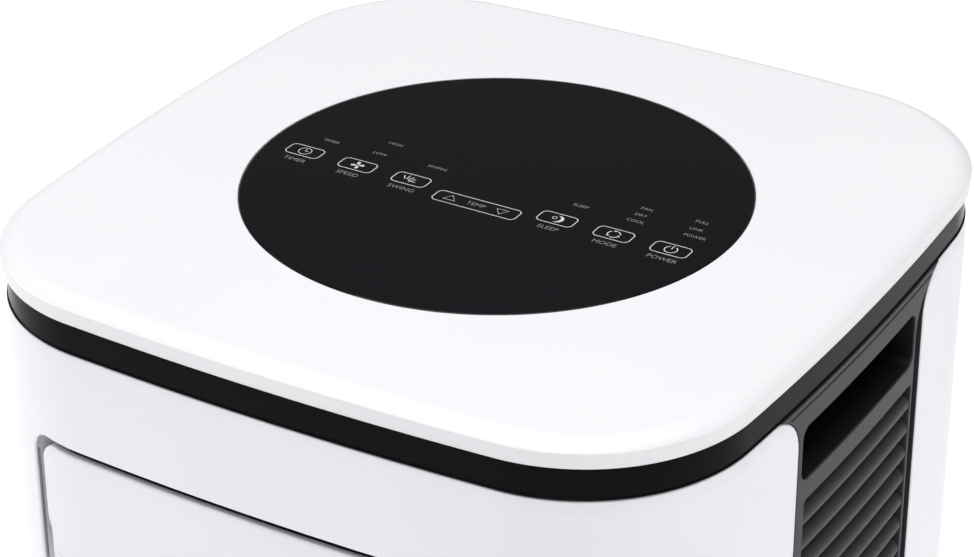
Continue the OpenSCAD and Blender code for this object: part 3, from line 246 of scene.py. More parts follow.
class Moulding:
    """Points of one piece with the shading direction at each, and the faces between them."""

    def __init__(self, lean=()):
        """Lean is a list of (z, extra depth, tilt in degrees): how the wall bends inwards at its top."""
        self.points, self.ways, self.faces = [], [], []
        self.lean = np.array(lean, float)

    def add(self, points, ways):
        start = len(self.points)
        self.points += [tuple(p) for p in points]
        self.ways += [tuple(w) for w in ways]
        return list(range(start, len(self.points)))

    def wall(self, flat, depth, ways):
        """Points given by distance round the body and height, at a depth behind its outline."""
        flat, ways = np.asarray(flat, float), np.asarray(ways, float)
        depth = np.broadcast_to(np.asarray(depth, float), len(flat))
        if len(self.lean):
            z, deeper, tilt = self.lean.T
            depth = depth + np.interp(flat[:, 1], z, deeper)
            a = np.radians(np.interp(flat[:, 1], z, tilt))
            up, away = ways[:, 1], ways[:, 2]
            c, s = np.cos(a), np.sin(a)
            ways = np.column_stack([ways[:, 0], up * c + away * s, away * c - up * s])
        centre, radius, out = round_body(flat[:, 0])
        along = np.stack([-out[:, 1], out[:, 0]], 1)
        level = centre + (radius - depth)[:, None] * out
        points = np.column_stack([level, flat[:, 1]])
        turned = np.column_stack([along * ways[:, :1] + out * ways[:, 2:], ways[:, 1]])
        return self.add(points, turned)

    def band(self, a, b, closed=True):
        n = len(a)
        for i in range(n if closed else n - 1):
            j = (i + 1) % n
            self.faces.append((a[i], a[j], b[j], b[i]))

    def fill(self, rims, loops, depth, way):
        """Fills the face between an outer rim and its holes, with upright columns of points that follow the bow."""
        flat = [tuple(p) for loop in loops for p in loop]
        index = [i for rim in rims for i in rim]
        edges, start = [], 0
        for loop in loops:
            n = len(loop)
            edges += [(start + i, start + (i + 1) % n) for i in range(n)]
            start += n
        lo, hi = loops[0][:, 0].min(), loops[0][:, 0].max()
        grid = np.concatenate([steps_round() + GIRTH * i for i in (-1, 0, 1)])
        extra = []
        for u in grid[(grid > lo + 0.4) & (grid < hi - 0.4)]:
            cuts = []
            for loop in loops:
                a, b = loop, np.roll(loop, -1, 0)
                for (x0, y0), (x1, y1) in zip(a, b):
                    if (x0 <= u) != (x1 <= u):
                        cuts.append(y0 + (u - x0) * (y1 - y0) / (x1 - x0))
            cuts.sort()
            for z0, z1 in zip(cuts[::2], cuts[1::2]):
                if z1 - z0 < 3:
                    continue
                m = max(1, round((z1 - z0) / 45))
                rows = [z0 + 1 + (z1 - z0 - 2) * j / m for j in range(m + 1)]
                if len(self.lean):
                    rows = sorted(rows + [z for z in self.lean[:, 0] if z0 + 1.2 < z < z1 - 1.2])
                for j, z in enumerate(rows):
                    extra.append((u, z))
                    if j:
                        edges.append((len(flat) + len(extra) - 2, len(flat) + len(extra) - 1))
        if extra:
            index += self.wall(extra, depth, [way] * len(extra))
        both = [Vector(p) for p in flat + extra]
        made, _, faces, source, _, _ = delaunay_2d_cdt(both, edges, [], 0, 1e-5)
        place = []
        for p, came in zip(made, source):
            place.append(index[came[0]] if came else self.wall([tuple(p)], depth, [way])[0])
        made = np.array([tuple(p) for p in made])
        faces = np.array(faces)
        for f in faces[inside(made[faces].mean(1), loops)]:
            self.faces.append(tuple(place[i] for i in f))

    def panel(self, outer, holes=(), face=SHELL_FACE, thick=WALL, edge=(1.0, 1.0), hole_edge=(1.0, 1.0), rounds=5):
        """A moulded panel on the body's wall whose edges and openings are rounded over: edge is how far the rounding
        runs in from the edge, and how deep it goes."""
        rims, loops, backs, back_loops = [], [], [], []
        for corners, sign, (run, drop) in [(outer, -1, edge)] + [(h, 1, hole_edge) for h in holes]:
            rest, way = rounded(corners)
            way = -sign * way
            still = np.zeros((len(way), 1))
            before = self.wall(rest, face + thick, np.hstack([way, still]))
            for k in range(rounds + 1):
                a = math.pi / 2 * k / rounds
                moved, _ = rounded(corners, sign * run * (1 - math.cos(a)))
                c, s = math.cos(a) / run, math.sin(a) / drop
                size = math.hypot(c, s)
                ways = np.hstack([way * c / size, still + s / size])
                ring = self.wall(moved, face + drop * (1 - math.sin(a)), ways)
                self.band(before, ring)
                before = ring
            rims.append(before)
            loops.append(moved)
            backs.append(self.wall(rest, face + thick, [(0, 0, -1)] * len(rest)))
            back_loops.append(rest)
        self.fill(rims, loops, face, (0, 0, 1))
        self.fill(backs, back_loops, face + thick, (0, 0, -1))

    def rings(self, runs):
        """A closed ring round the whole body from runs of (depth, z, outward, upward)."""
        u = steps_round()
        for run in runs:
            before = None
            for depth, z, outward, upward in run:
                flat = np.column_stack([u, np.full(len(u), z)])
                size = math.hypot(outward, upward)
                loop = self.wall(flat, depth, [(0, upward / size, outward / size)] * len(u))
                if before:
                    self.band(before, loop)
                before = loop

    def bar(self, profile, u0, u1, cell=12.0):
        """A bar along the body's wall with the closed profile (depth, z) and flat ends."""
        n = max(1, math.ceil((u1 - u0) / cell))
        p = np.array(profile, float)
        d = np.roll(p, -1, 0) - np.roll(p, 1, 0)
        way = np.column_stack([np.zeros(len(p)), -d[:, 0], -d[:, 1]])
        area = 0.5 * np.sum(p[:, 0] * np.roll(p[:, 1], -1) - np.roll(p[:, 0], -1) * p[:, 1])
        way *= -np.sign(area) / np.linalg.norm(way, axis=1)[:, None]
        before = None
        for i in range(n + 1):
            u = u0 + (u1 - u0) * i / n
            flat = np.column_stack([np.full(len(p), u), p[:, 1]])
            loop = self.wall(flat, p[:, 0], way)
            if before:
                self.band(before, loop)
            before = loop
            if i in (0, n):
                end = self.wall(flat, p[:, 0], [(1 if i else -1, 0, 0)] * len(p))
                self.faces.append(tuple(end))

    def make(self, name, material, body=CABINET, slot=None, mirror=False):
        """The object: every face turned the way its shading directions point."""
        p = np.array(self.points) * MM
        w = np.array(self.ways)
        if mirror:
            p[:, 0] *= -1
            w[:, 0] *= -1
        faces = []
        for f in self.faces:
            a, b, c = p[f[0]], p[f[1]], p[f[2]]
            n = np.cross(b - a, c - a)
            if len(f) > 3:
                n = n + np.cross(c - a, p[f[3]] - a)
            faces.append(f if n @ w[list(f)].sum(0) >= 0 else f[::-1])
        mesh = bpy.data.meshes.new(name)
        mesh.from_pydata([tuple(q) for q in p], [], faces)
        mesh.polygons.foreach_set("use_smooth", [True] * len(mesh.polygons))
        mesh.normals_split_custom_set_from_vertices([tuple(v / (np.linalg.norm(v) or 1)) for v in w])
        mesh.materials.append(material)
        piece = bpy.data.objects.new(name, mesh)
        bpy.context.scene.collection.objects.link(piece)
        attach(piece, body)
        return piece


# Finishes


def linear(colour):
    """An sRGB hex colour as linear RGBA."""
    parts = [int(colour[i : i + 2], 16) / 255 for i in (1, 3, 5)]
    return tuple(c / 12.92 if c <= 0.04045 else ((c + 0.055) / 1.055) ** 2.4 for c in parts) + (1.0,)


def add(tree, kind, feeds=None, **settings):
    """Adds a node with its settings, and feeds its inputs with values or with other nodes' outputs."""
    made = tree.nodes.new("ShaderNode" + kind)
    for name, value in settings.items():
        setattr(made, name, value)
    for socket, value in (feeds or {}).items():
        if isinstance(value, bpy.types.NodeSocket):
            tree.links.new(value, made.inputs[socket])
        else:
            made.inputs[socket].default_value = value
    return made


def finish(name, colours, rough, metal=0.0, ior=1.5, grain=0.5, grain_depth=0.02, shades=60.0, gloss=0.5,
           extra=None):
    """A material: two close colours that drift over a distance of shades mm, a roughness range, and a grain of a
    size and a depth in mm. Gloss is how strongly the surface mirrors, 0.5 being normal for its IOR."""
    material = bpy.data.materials.new(name)
    material.use_nodes = True
    tree = material.node_tree
    tree.nodes.clear()
    place = add(tree, "TexCoord").outputs["Object"]
    drift = add(tree, "TexNoise", {"Vector": place, "Scale": 1000 / shades, "Detail": 2.0})
    fine = add(tree, "TexNoise", {"Vector": place, "Scale": 1000 / grain, "Detail": 2.0})
    one, other = (linear(c) for c in colours)
    colour = add(tree, "MixRGB", {"Fac": drift.outputs["Fac"], "Color1": one, "Color2": other})
    dull = add(tree, "MapRange", {"Value": drift.outputs["Fac"], "To Min": rough[0], "To Max": rough[1]})
    bump = add(tree, "Bump", {"Height": fine.outputs["Fac"], "Strength": 1.0, "Distance": grain_depth * MM})
    shader = add(tree, "BsdfPrincipled", {
        "Base Color": colour.outputs["Color"],
        "Roughness": dull.outputs["Result"],
        "Normal": bump.outputs["Normal"],
        "Metallic": metal,
        "IOR": ior,
        "Specular IOR Level": gloss,
    })
    add(tree, "OutputMaterial", {"Surface": shader.outputs["BSDF"]})
    if extra:
        extra(tree, place, shader, colour)
    return material


# ABS moulded in a polished tool: bright white, with soft broad reflections
white_lid = finish("satin white ABS", ("#E9E8EB", "#E5E4E8"), (0.34, 0.40), grain=0.8, grain_depth=0.004)
# ABS moulded in a lightly blasted tool: cooler white, a little silkier than the lid
white_shell = finish("silk white ABS", ("#EBEAF0", "#E6E5EC"), (0.30, 0.36), grain=0.6, grain_depth=0.006)
# Gloss ABS: deep black with a tight highlight
gloss_black = finish("gloss black ABS", ("#0E0E10", "#111113"), (0.16, 0.22), ior=1.1, grain=3.0,
                     grain_depth=0.004)
# Spark-eroded ABS: fine even texture that scatters light
textured_grey = finish("textured dark grey ABS", ("#37373A", "#3B3B3E"), (0.42, 0.52), grain=0.5,
                       grain_depth=0.03, gloss=0.15)
# Black ABS of the handle's pocket, made darker than the grille as painted shade: soft and even
pocket_black = finish("black ABS", ("#141415", "#19191A"), (0.35, 0.45), grain=0.5, grain_depth=0.02)
# Toughened glass painted black behind: mirror-smooth, dulled in places by wiping
wiped_glass = finish("back-painted control glass", ("#0B0B10", "#0E0E13"), (0.05, 0.12), ior=1.52, grain=40.0,
                     grain_depth=0.004, shades=45.0, gloss=0.28)
# Screen-printed ink under the glass's surface: pale grey, matt
key_print = finish("pale grey screen print", ("#C6C6CA", "#D0D0D4"), (0.5, 0.6), grain=0.4, grain_depth=0.005,
                   shades=12.0)
dim_print = finish("grey screen print", ("#77777A", "#828286"), (0.5, 0.6), grain=0.4, grain_depth=0.005,
                   shades=12.0)
# Glass-filled nylon and polypropylene inside the cabinet: dull and slightly mottled
inner_dark = finish("black glass-filled polypropylene", ("#232324", "#2B2B2C"), (0.5, 0.62), grain=0.7,
                    grain_depth=0.04)
inner_grey = finish("grey polypropylene", ("#5E5E60", "#666668"), (0.45, 0.55), grain=0.7, grain_depth=0.03)
# Hard polyurethane tread on a nylon hub: dull black, scuffed
caster_tread = finish("caster polyurethane", ("#1F1F20", "#2C2C2D"), (0.5, 0.7), grain=0.8, grain_depth=0.05,
                      shades=8.0)
# Moulded rubber: matt, almost black
soft_rubber = finish("moulded rubber", ("#1C1C1D", "#222223"), (0.65, 0.75), grain=0.5, grain_depth=0.04,
                     shades=20.0)
# Closed-cell polyethylene foam of the float: soft yellow with open pores
float_foam = finish("yellow foam", ("#D9A93A", "#E0B550"), (0.7, 0.8), grain=1.2, grain_depth=0.15,
                    shades=10.0)
# Drawn copper tube: warm metal that browns unevenly
drawn_copper = finish("drawn copper", ("#C77C55", "#B8693F"), (0.25, 0.4), metal=1.0, grain=2.0, grain_depth=0.02,
                      shades=25.0)
# Air-dried enamel over a drawn steel can: gloss black with a slight orange-peel skin
black_enamel = finish("black enamel on steel", ("#17171A", "#1E1E21"), (0.22, 0.34), grain=1.8,
                      grain_depth=0.03, gloss=0.6)
# Blackened screw: dark oxide on steel
dark_screw = finish("black oxide steel", ("#2A2A2C", "#343436"), (0.3, 0.45), metal=1.0, grain=0.6, grain_depth=0.02,
                    shades=4.0)


def spangle(tree, place, shader, colour):
    """Crystals of hot-dip zinc, each with its own shade."""
    flake = add(tree, "TexVoronoi", {"Vector": place, "Scale": 1000 / 9})
    dark, bright = linear("#9DA0A4"), linear("#C2C5C9")
    tone = add(tree, "MixRGB", {"Fac": flake.outputs["Color"], "Color1": dark, "Color2": bright})
    tree.links.new(tone.outputs["Color"], shader.inputs["Base Color"])


# Galvanised sheet: bright zinc crystals about 9 mm across
zinc_steel = finish("galvanised steel", ("#A5A8AC", "#B9BCC0"), (0.35, 0.5), metal=1.0, grain=1.5, grain_depth=0.01,
                    extra=spangle)


def beads(tree, place, shader, colour):
    """Fused beads of expanded polystyrene, about 4 mm across."""
    bead = add(tree, "TexVoronoi", {"Vector": place, "Scale": 1000 / 4})
    hollow = add(tree, "Bump", {"Height": bead.outputs["Distance"], "Strength": 0.6, "Distance": 0.4 * MM},
                 invert=True)
    tree.links.new(hollow.outputs["Normal"], shader.inputs["Normal"])


# Expanded polystyrene: matt white, fused beads
white_foam = finish("expanded polystyrene", ("#EDEDEE", "#E2E2E4"), (0.75, 0.85), grain=4.0, grain_depth=0.1,
                    shades=8.0, extra=beads)


def board_tracks(tree, place, shader, colour):
    """Copper tracks under green lacquer, 2.5 mm apart."""
    track = add(tree, "TexBrick", {"Vector": place, "Scale": 1000 / 5, "Color1": linear("#14663A"),
                                   "Color2": linear("#1B7444"), "Mortar": linear("#2E9A5C"), "Mortar Size": 0.03})
    tree.links.new(track.outputs["Color"], shader.inputs["Base Color"])


# Glass-fibre laminate under green solder lacquer
green_board = finish("green circuit laminate", ("#14663A", "#1B7444"), (0.25, 0.4), grain=1.0, grain_depth=0.02,
                     shades=10.0, extra=board_tracks)


COIL_END = 0.1162


def copper_ends(tree, place, shader, colour):
    """Copper return bends outside the coil's end plates, aluminium between them."""
    across = add(tree, "SeparateXYZ", {"Vector": place}).outputs["X"]
    far = add(tree, "Math", {0: across}, operation="ABSOLUTE").outputs[0]
    beyond = add(tree, "Math", {0: far, 1: COIL_END}, operation="GREATER_THAN").outputs[0]
    tone = add(tree, "MixRGB", {"Fac": beyond, "Color1": colour.outputs["Color"], "Color2": linear("#C07A52")})
    tree.links.new(tone.outputs["Color"], shader.inputs["Base Color"])


# Rolled aluminium fin stock: pale, faintly brushed
fin_stock = finish("aluminium fin stock", ("#C9CCD0", "#BFC2C6"), (0.3, 0.42), metal=1.0, grain=0.8, grain_depth=0.01,
                   extra=copper_ends)


def filter_weave(tree, place, shader, colour):
    """A mesh of black thread, drawn at 2 mm so that it shows."""
    weave = add(tree, "TexBrick", {"Vector": place, "Scale": 1000 / 4, "Color1": linear("#2D2D2E"),
                                   "Color2": linear("#343435"), "Mortar": linear("#161617"), "Mortar Size": 0.04},
                offset=0.0)
    tree.links.new(weave.outputs["Color"], shader.inputs["Base Color"])


# Filter frame of polypropylene with its woven mesh
filter_mesh = finish("black filter mesh", ("#232324", "#2B2B2C"), (0.5, 0.62), grain=0.7, grain_depth=0.04,
                     extra=filter_weave)


# Pieces of the outside


def make_shells():
    # A band under the neck leans in by 1 mm
    lean = [(SHELL_TOP - 7, 0, 0), (SHELL_TOP - 5.6, 0.08, 7), (SHELL_TOP - 4.6, 0.22, 10), (SHELL_TOP, 1.0, 10)]
    edge = -on_side(FRONT_EDGE)
    front = Moulding(lean)
    half, low, _, r = OUTLET
    window = box_loop(on_front(-half), on_front(half), *OUTLET[1:])
    front.panel([(edge, SKIRT_Z, SKIRT_R), (-edge, SKIRT_Z, SKIRT_R), (-edge, SHELL_TOP, SIDE_R),
                 (edge, SHELL_TOP, SIDE_R)], [window], edge=(1.0, 0.9), hole_edge=(1.3, 1.1))
    # Walls that lead from the shell's face into the outlet at each end and round its upper corners
    rest, way = rounded(window)
    near, far, sheet = SHELL_FACE + 1.1, 16, 0.7
    for s in (-1, 1):
        keep = (rest[:, 0] * s > on_front(half) - r - 0.5) & (rest[:, 1] > low + r + 1)
        turn = np.argsort(np.arctan2(rest[keep][:, 1] - low, s * rest[keep][:, 0]))
        run, side = rest[keep][turn], -way[keep][turn]
        loops = [front.wall(run + side * t, d, np.column_stack([side * f, np.zeros(len(run))]))
                 for t, d, f in ((0, near, 1), (0, far, 1), (-sheet, far, -1), (-sheet, near, -1))]
        front.band(loops[0], loops[1], closed=False)
        front.band(loops[2], loops[3], closed=False)
    piece = front.make("front_cover", white_shell, slot="shell_white")
    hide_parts("front_shell")

    rear = Moulding(lean)
    edge = on_side(REAR_EDGE)
    holes = [box_loop(on_rear(INTAKE_X), on_rear(-INTAKE_X), z0, z1, INTAKE_R) for z0, z1 in INTAKES]
    holes += [disc_loop(on_rear(x), z, r) for x, z, r in BORES]
    rear.panel([(edge, SKIRT_Z, SKIRT_R), (GIRTH - edge, SKIRT_Z, SKIRT_R), (GIRTH - edge, SHELL_TOP, SIDE_R),
                (edge, SHELL_TOP, SIDE_R)], holes, edge=(1.0, 0.9))
    piece = rear.make("rear_cover", white_shell, slot="shell_white")
    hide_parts("rear_shell")


def upright(near, far, z0, z1):
    """The profile of an upright strip between two depths."""
    return [(near, z0), (far, z0), (far, z1), (near, z1)]


def arc(x, y, r, start, end, n=20):
    """Points on a circle between two angles in degrees."""
    return [(x + r * math.cos(math.radians(a)), y + r * math.sin(math.radians(a))) for a in np.linspace(start, end, n)]


def slat_profile(z):
    """A louvre: a full rounded face at the front that rolls over into a slope up and inwards."""
    outer = [(0.9, 0.0), (0.45, 0.5), (0.3, 1.4), (0.35, 2.6), (0.7, 3.8), (1.4, 5.0), (2.5, 6.1), (4.0, 7.1),
             (6.2, 8.2), (9.0, 9.4)]
    inner = [(9.3, 8.6), (6.8, 6.6), (4.8, 4.9), (3.4, 3.2), (2.5, 1.5), (1.8, 0.2)]
    return [(GRILLE_FACE + d, z + h) for d, h in outer + inner]


def make_grille(name, node, mirror):
    front, rear = on_side(FRONT_EDGE + 0.3), on_side(REAR_EDGE)
    at = on_side(0)
    plate_rear = rear - GROOVE_W
    seam = SHELL_TOP - SEAM_DROP
    side = Moulding()
    pocket = box_loop(at + POCKET[0], at + POCKET[1], POCKET[2], POCKET[3], 5)
    vents = box_loop(at + SLATS[0], at + SLATS[1], SLATS[2], SLATS[3], 2)
    plate = [(front, SKIRT_Z, 1.2), (plate_rear, SKIRT_Z, 1.2), (plate_rear, seam - 11.5, 18), (rear + 9.4, seam, 0),
             (front - 9.6, seam, 0), (front, seam - 5.8, 20)]
    side.panel(plate, [pocket, vents], face=GRILLE_FACE, edge=(0.9, 0.9), hole_edge=(0.6, 0.6))
    # Strip above the seam, up to the neck
    side.panel([(front - 9.8, seam + SEAM_W, 0), (rear + 9.6, seam + SEAM_W, 0), (rear + 15, SHELL_TOP - 0.05, 0),
                (front - 15.5, SHELL_TOP - 0.05, 0)], face=GRILLE_FACE, edge=(0.3, 0.3))
    # Black ABS liner of the pocket's mouth; part of its near-black colour is painted shade for the deep pocket
    shade_liner = Moulding()
    rest, way = rounded(pocket, -0.15)
    still = np.zeros((len(way), 1))
    shade_liner.band(*[shade_liner.wall(rest, GRILLE_FACE + d, np.hstack([-way, still])) for d in (0.7, 14.0)])
    shade_liner.make(name + "_pocket_shade_liner", pocket_black, slot="pocket_black", mirror=mirror)
    # Groove beside the rear shell: its floor, and the lip that lines the shell's edge
    floor = GRILLE_FACE + GROOVE_D
    low, high = SKIRT_Z + 0.2, SHELL_TOP - 0.2
    side.bar(upright(floor, floor + 1.5, low, high), plate_rear - 2, rear + 14)
    bend = SIDE_R + 0.3
    centre = (rear + SIDE_R, SHELL_TOP - SIDE_R)
    path = np.array([(rear - 0.3, low)] + arc(*centre, bend, 180, 108, 11))
    out = np.vstack([[-1, 0], (path[1:] - centre) / bend])
    lip = path + out * 0.8
    flat = np.column_stack([out, np.zeros(len(out))])
    side.band(side.wall(lip, GRILLE_FACE + 0.2, flat), side.wall(lip, floor, flat), closed=False)
    up = [(0, 0, 1)] * len(lip)
    side.band(side.wall(lip, GRILLE_FACE + 0.2, up), side.wall(path, GRILLE_FACE + 0.2, up), closed=False)
    # Louvres, their two posts and the rails at their ends
    u0, u1, low, high = at + SLATS[0], at + SLATS[1], SLATS[2], SLATS[3] + 4
    for i in range(int((SLATS[3] - SLATS[2]) / SLAT_PITCH)):
        side.bar(slat_profile(low + i * SLAT_PITCH), u0 - 1, u1 + 1)
    deep = GRILLE_FACE + SLAT_DEPTH - 1
    for u in (u0 + POST_IN, u1 - POST_IN):
        side.bar(upright(deep - 4, deep, low, high), u - POST_W / 2, u + POST_W / 2)
    for u in (u0 - POST_W, u1):
        side.bar(upright(GRILLE_FACE + 6, deep, low, high), u, u + POST_W)
    piece = side.make(name, textured_grey, slot="grille_grey", mirror=mirror)
    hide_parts(node)


def make_lid():
    lid = Moulding()
    # The edge rolls over softly to a crisp line, and the rim below it leans in
    bend, run, crisp = 11.5, 8.6, 48
    turns = [(math.sin(a), math.cos(a)) for a in np.radians(np.linspace(0, crisp, 9))]
    roll = [(run - bend * s, TOP - bend * (1 - c), s, c) for s, c in turns]
    edge, low = roll[-1][:2]
    rim = [(edge, low, 1, 0.1), (0.02, low - 0.5, 1, 0), (0.1, low - 1.5, 1, -0.06), (0.3, LID_Z + 0.5, 1, -0.06),
           (0.5, LID_Z + 0.1, 0.7, -0.7)]
    lid.rings([roll, rim, [(0.5, LID_Z, 0, -1), (LID_T, LID_Z, 0, -1)],
               [(LID_T, LID_Z, -1, 0), (LID_T, TOP - LID_T, -1, 0)]])
    # Flat top and its underside, between the outline and the round seat of the glass
    u = steps_round()
    seat = GLASS_R + 0.3
    for z, depth, up, r in ((TOP, run, 1, seat + 0.5), (TOP - LID_T, LID_T, -1, seat + 3)):
        flat = np.column_stack([u, np.full(len(u), z)])
        outer = lid.wall(flat, depth, [(0, up, 0)] * len(u))
        turn = [math.atan2(lid.points[i][1], lid.points[i][0]) for i in outer]
        circle = [(r * math.cos(t), r * math.sin(t), z) for t in turn]
        lid.band(outer, lid.add(circle, [(0, 0, up)] * len(u)))
    ledge, ledge_z, wide = seat - GLASS_LEDGE, TOP - GLASS_T, seat + 3
    under = ledge_z - 3
    seat_runs = [
        [(seat + 0.5, TOP, 0, 1), (seat + 0.15, TOP - 0.15, -0.7, 0.7), (seat, TOP - 0.5, -1, 0),
         (seat, ledge_z, -1, 0)],
        [(seat, ledge_z, 0, 1), (ledge, ledge_z, 0, 1)],
        [(ledge, ledge_z, -1, 0), (ledge, under, -1, 0)],
        [(ledge, under, 0, -1), (wide, under, 0, -1)],
        [(wide, under, 1, 0), (wide, TOP - LID_T, 1, 0)],
    ]
    spin(lid, seat_runs, 160)
    piece = lid.make("lid", white_lid, slot="lid_white")
    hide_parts("top_lid")


def spin(shape, runs, count):
    """Turns runs of (radius, z, outward, upward) about the upright middle line."""
    angles = np.arange(count) * 2 * math.pi / count
    for run in runs:
        before = None
        for r, z, outward, upward in run:
            ring = shape.add([(r * math.cos(a), r * math.sin(a), z) for a in angles],
                             [(outward * math.cos(a), outward * math.sin(a), upward) for a in angles])
            if before:
                shape.band(before, ring)
            before = ring


def make_glass():
    glass = Moulding()
    top = TOP - 0.12
    spin(glass, [[(0.01, top, 0, 1), (40, top, 0, 1), (GLASS_R - 0.8, top, 0, 1), (GLASS_R - 0.3, top - 0.12, 0.5, 0.8),
                  (GLASS_R, top - 0.5, 1, 0), (GLASS_R, TOP - GLASS_T, 1, 0)],
                 [(GLASS_R, TOP - GLASS_T, 0, -1), (0.01, TOP - GLASS_T, 0, -1)]], 160)
    piece = glass.make("control_panel", wiped_glass, slot="panel_black")
    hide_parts("control_glass")


def make_neck():
    neck = Moulding()
    face = [(NECK_FACE, LID_Z, 1, 0), (NECK_FACE, NECK_Z + 1.1, 1, 0), (NECK_FACE - 0.1, NECK_Z + 0.8, 1, 0.8),
            (NECK_FACE - 0.5, NECK_Z + 0.4, 1, 1), (NECK_FACE - 0.6, NECK_Z, 1, 0)]
    back, deep, flange = NECK_FACE + WALL, NECK_FACE + NECK_FLANGE, NECK_Z + WALL
    neck.rings([face, [(NECK_FACE - 0.6, NECK_Z, 0, -1), (deep, NECK_Z, 0, -1)],
                [(deep, NECK_Z, -1, 0), (deep, flange, -1, 0)],
                [(deep, flange, 0, 1), (back, flange, 0, 1)],
                [(back, flange, -1, 0), (back, LID_Z, -1, 0)],
                [(back, LID_Z, 0, 1), (NECK_FACE, LID_Z, 0, 1)]])
    piece = neck.make("neck", gloss_black, slot="neck_black")
    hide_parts("neck_band")


def make_flap():
    half, z0, z1, r = FLAP
    # Each side steps in by 2 mm over 5 mm of height
    high, low = FLAP_STEP_Z + 2.5, FLAP_STEP_Z - 2.5
    right_side = [(half - 2, z0, r), (half - 2, low, 1.5), (half, high, 1.5), (half, z1, r)]
    shape = [(on_front(-x), z, c) for x, z, c in right_side[::-1]] + [(on_front(x), z, c) for x, z, c in right_side]
    # Its top leans back a little over the last 8 mm
    tilts = [0, 3, 6, 8, 8, 8, 8, 10, 12]
    slopes = [math.tan(math.radians((a + b) / 2)) for a, b in zip(tilts, tilts[1:])]
    deeper = np.concatenate([[0], np.cumsum(slopes)])
    flap = Moulding([(z1 - 8 + i, d, t) for i, (d, t) in enumerate(zip(deeper, tilts))])
    flap.panel(shape, thick=FLAP_T, edge=(0.9, 0.9))
    flap.lean = np.array([])
    y, z = FLAP_PIVOT
    # Arms back to the pivot, with their pins
    for s in (-1, 1):
        x0, x1 = sorted((s * ARM_X, s * (ARM_X + ARM_T)))
        front = -HALF_D + 5.2
        arm = arc(y, z, ARM_R, -90, 90, 13)
        arm += [(-HALF_D + 14, z + 34), (front, z + 34), (front, FLAP[1] + 8), (-HALF_D + 12, FLAP[1] + 8)]
        sides = [flap.add([(x, p, q) for p, q in arm], [(way, 0, 0)] * len(arm)) for x, way in ((x0, -1), (x1, 1))]
        for f in sides:
            flap.faces.append(tuple(f))
        middle = np.mean(arm, 0)
        for i in range(len(arm)):
            a, b = np.array(arm[i]), np.array(arm[(i + 1) % len(arm)])
            n = np.array([b[1] - a[1], a[0] - b[0]])
            n = n / np.hypot(*n)
            n = n if n @ ((a + b) / 2 - middle) > 0 else -n
            quad = flap.add([(x0, *a), (x1, *a), (x1, *b), (x0, *b)], [(0, *n)] * 4)
            flap.faces.append(tuple(quad))
        reach = s * (OUTLET[0] + 2.2)
        way = [(0, p, q) for p, q in arc(0, 0, 1, 0, 345, 24)]
        pin = [[(x, y + PIN_R * p, z + PIN_R * q) for _, p, q in way] for x in (s * ARM_X, reach)]
        flap.band(*(flap.add(ring, way) for ring in pin))
        flap.faces.append(tuple(flap.add(pin[1], [(s, 0, 0)] * len(way))))
    piece = flap.make("air_flap", white_shell, body="flap", slot="shell_white")
    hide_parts("outlet_flap")


# Print on the glass


PRINT_Z = TOP - 0.03


def stroke(shape, points, width, closed=True):
    """A line of even width through points on the glass."""
    p = np.array(points, float)
    n = len(p)
    ways = []
    for i in range(n):
        a = p[i - 1] if closed or i else p[i]
        b = p[(i + 1) % n] if closed or i < n - 1 else p[i]
        d = (b - a) / np.hypot(*(b - a))
        ways.append((d[1], -d[0]))
    ways = np.array(ways) * width / 2
    flat = [shape.add([(x, y, PRINT_Z) for x, y in q], [(0, 0, 1)] * n) for q in (p - ways, p + ways)]
    shape.band(*flat, closed=closed)


def patch(shape, points):
    shape.faces.append(tuple(shape.add([(x, y, PRINT_Z) for x, y in points], [(0, 0, 1)] * len(points))))


def key_frame(shape, x, y, w, h):
    points, _ = rounded(box_loop(x - w / 2, x + w / 2, y - h / 2, y + h / 2, 2.4), cell=10)
    stroke(shape, points, 0.42)


def word(shape, text, x, y, size):
    """Letters laid on the glass, centred on a point."""
    data = bpy.data.curves.new("letters", "FONT")
    data.body, data.size, data.align_x, data.align_y = text, size, "CENTER", "CENTER"
    data.resolution_u = 3
    holder = bpy.data.objects.new("letters", data)
    bpy.context.scene.collection.objects.link(holder)
    bpy.context.view_layer.update()
    mesh = bpy.data.meshes.new_from_object(holder.evaluated_get(bpy.context.evaluated_depsgraph_get()))
    start = shape.add([(x + v.co.x, y + v.co.y, PRINT_Z) for v in mesh.vertices], [(0, 0, 1)] * len(mesh.vertices))
    for f in mesh.polygons:
        shape.faces.append(tuple(start[i] for i in f.vertices))
    bpy.data.objects.remove(holder)
    bpy.data.curves.remove(data)
    bpy.data.meshes.remove(mesh)


def clock_icon(shape, x, y):
    stroke(shape, arc(x, y, 2.9, 0, 342), 0.34)
    stroke(shape, [(x, y + 1.9), (x, y), (x + 1.6, y)], 0.34, closed=False)


def fan_icon(shape, x, y):
    for a in (20, 110, 200, 290):
        c, s = math.cos(math.radians(a)), math.sin(math.radians(a))
        patch(shape, [(x + c * p - s * q, y + s * p + c * q) for p, q in
                      ((0.5, -0.25), (1.6, -0.9), (2.9, -0.8), (3.1, 0.1), (2.3, 0.7), (0.5, 0.35))])


def swing_icon(shape, x, y):
    for a in (8, 34, 60, 90, 120):
        c, s = math.cos(math.radians(a)), math.sin(math.radians(a))
        stroke(shape, [(x - 2 + c * p, y - 2 + s * p) for p in (1.6, 3.2, 4.8)], 0.42, closed=False)


def moon_icon(shape, x, y):
    outer = arc(x, y, 2.9, -110, 110, 14)
    inner = arc(x - 1.5, y, 2.9, 70, -70, 14)
    for a, b, c, d in zip(outer, outer[1:], inner[::-1], inner[::-1][1:]):
        patch(shape, [a, b, d, c])
    stroke(shape, arc(x - 1.4, y + 0.5, 1.0, 0, 330, 10), 0.3)


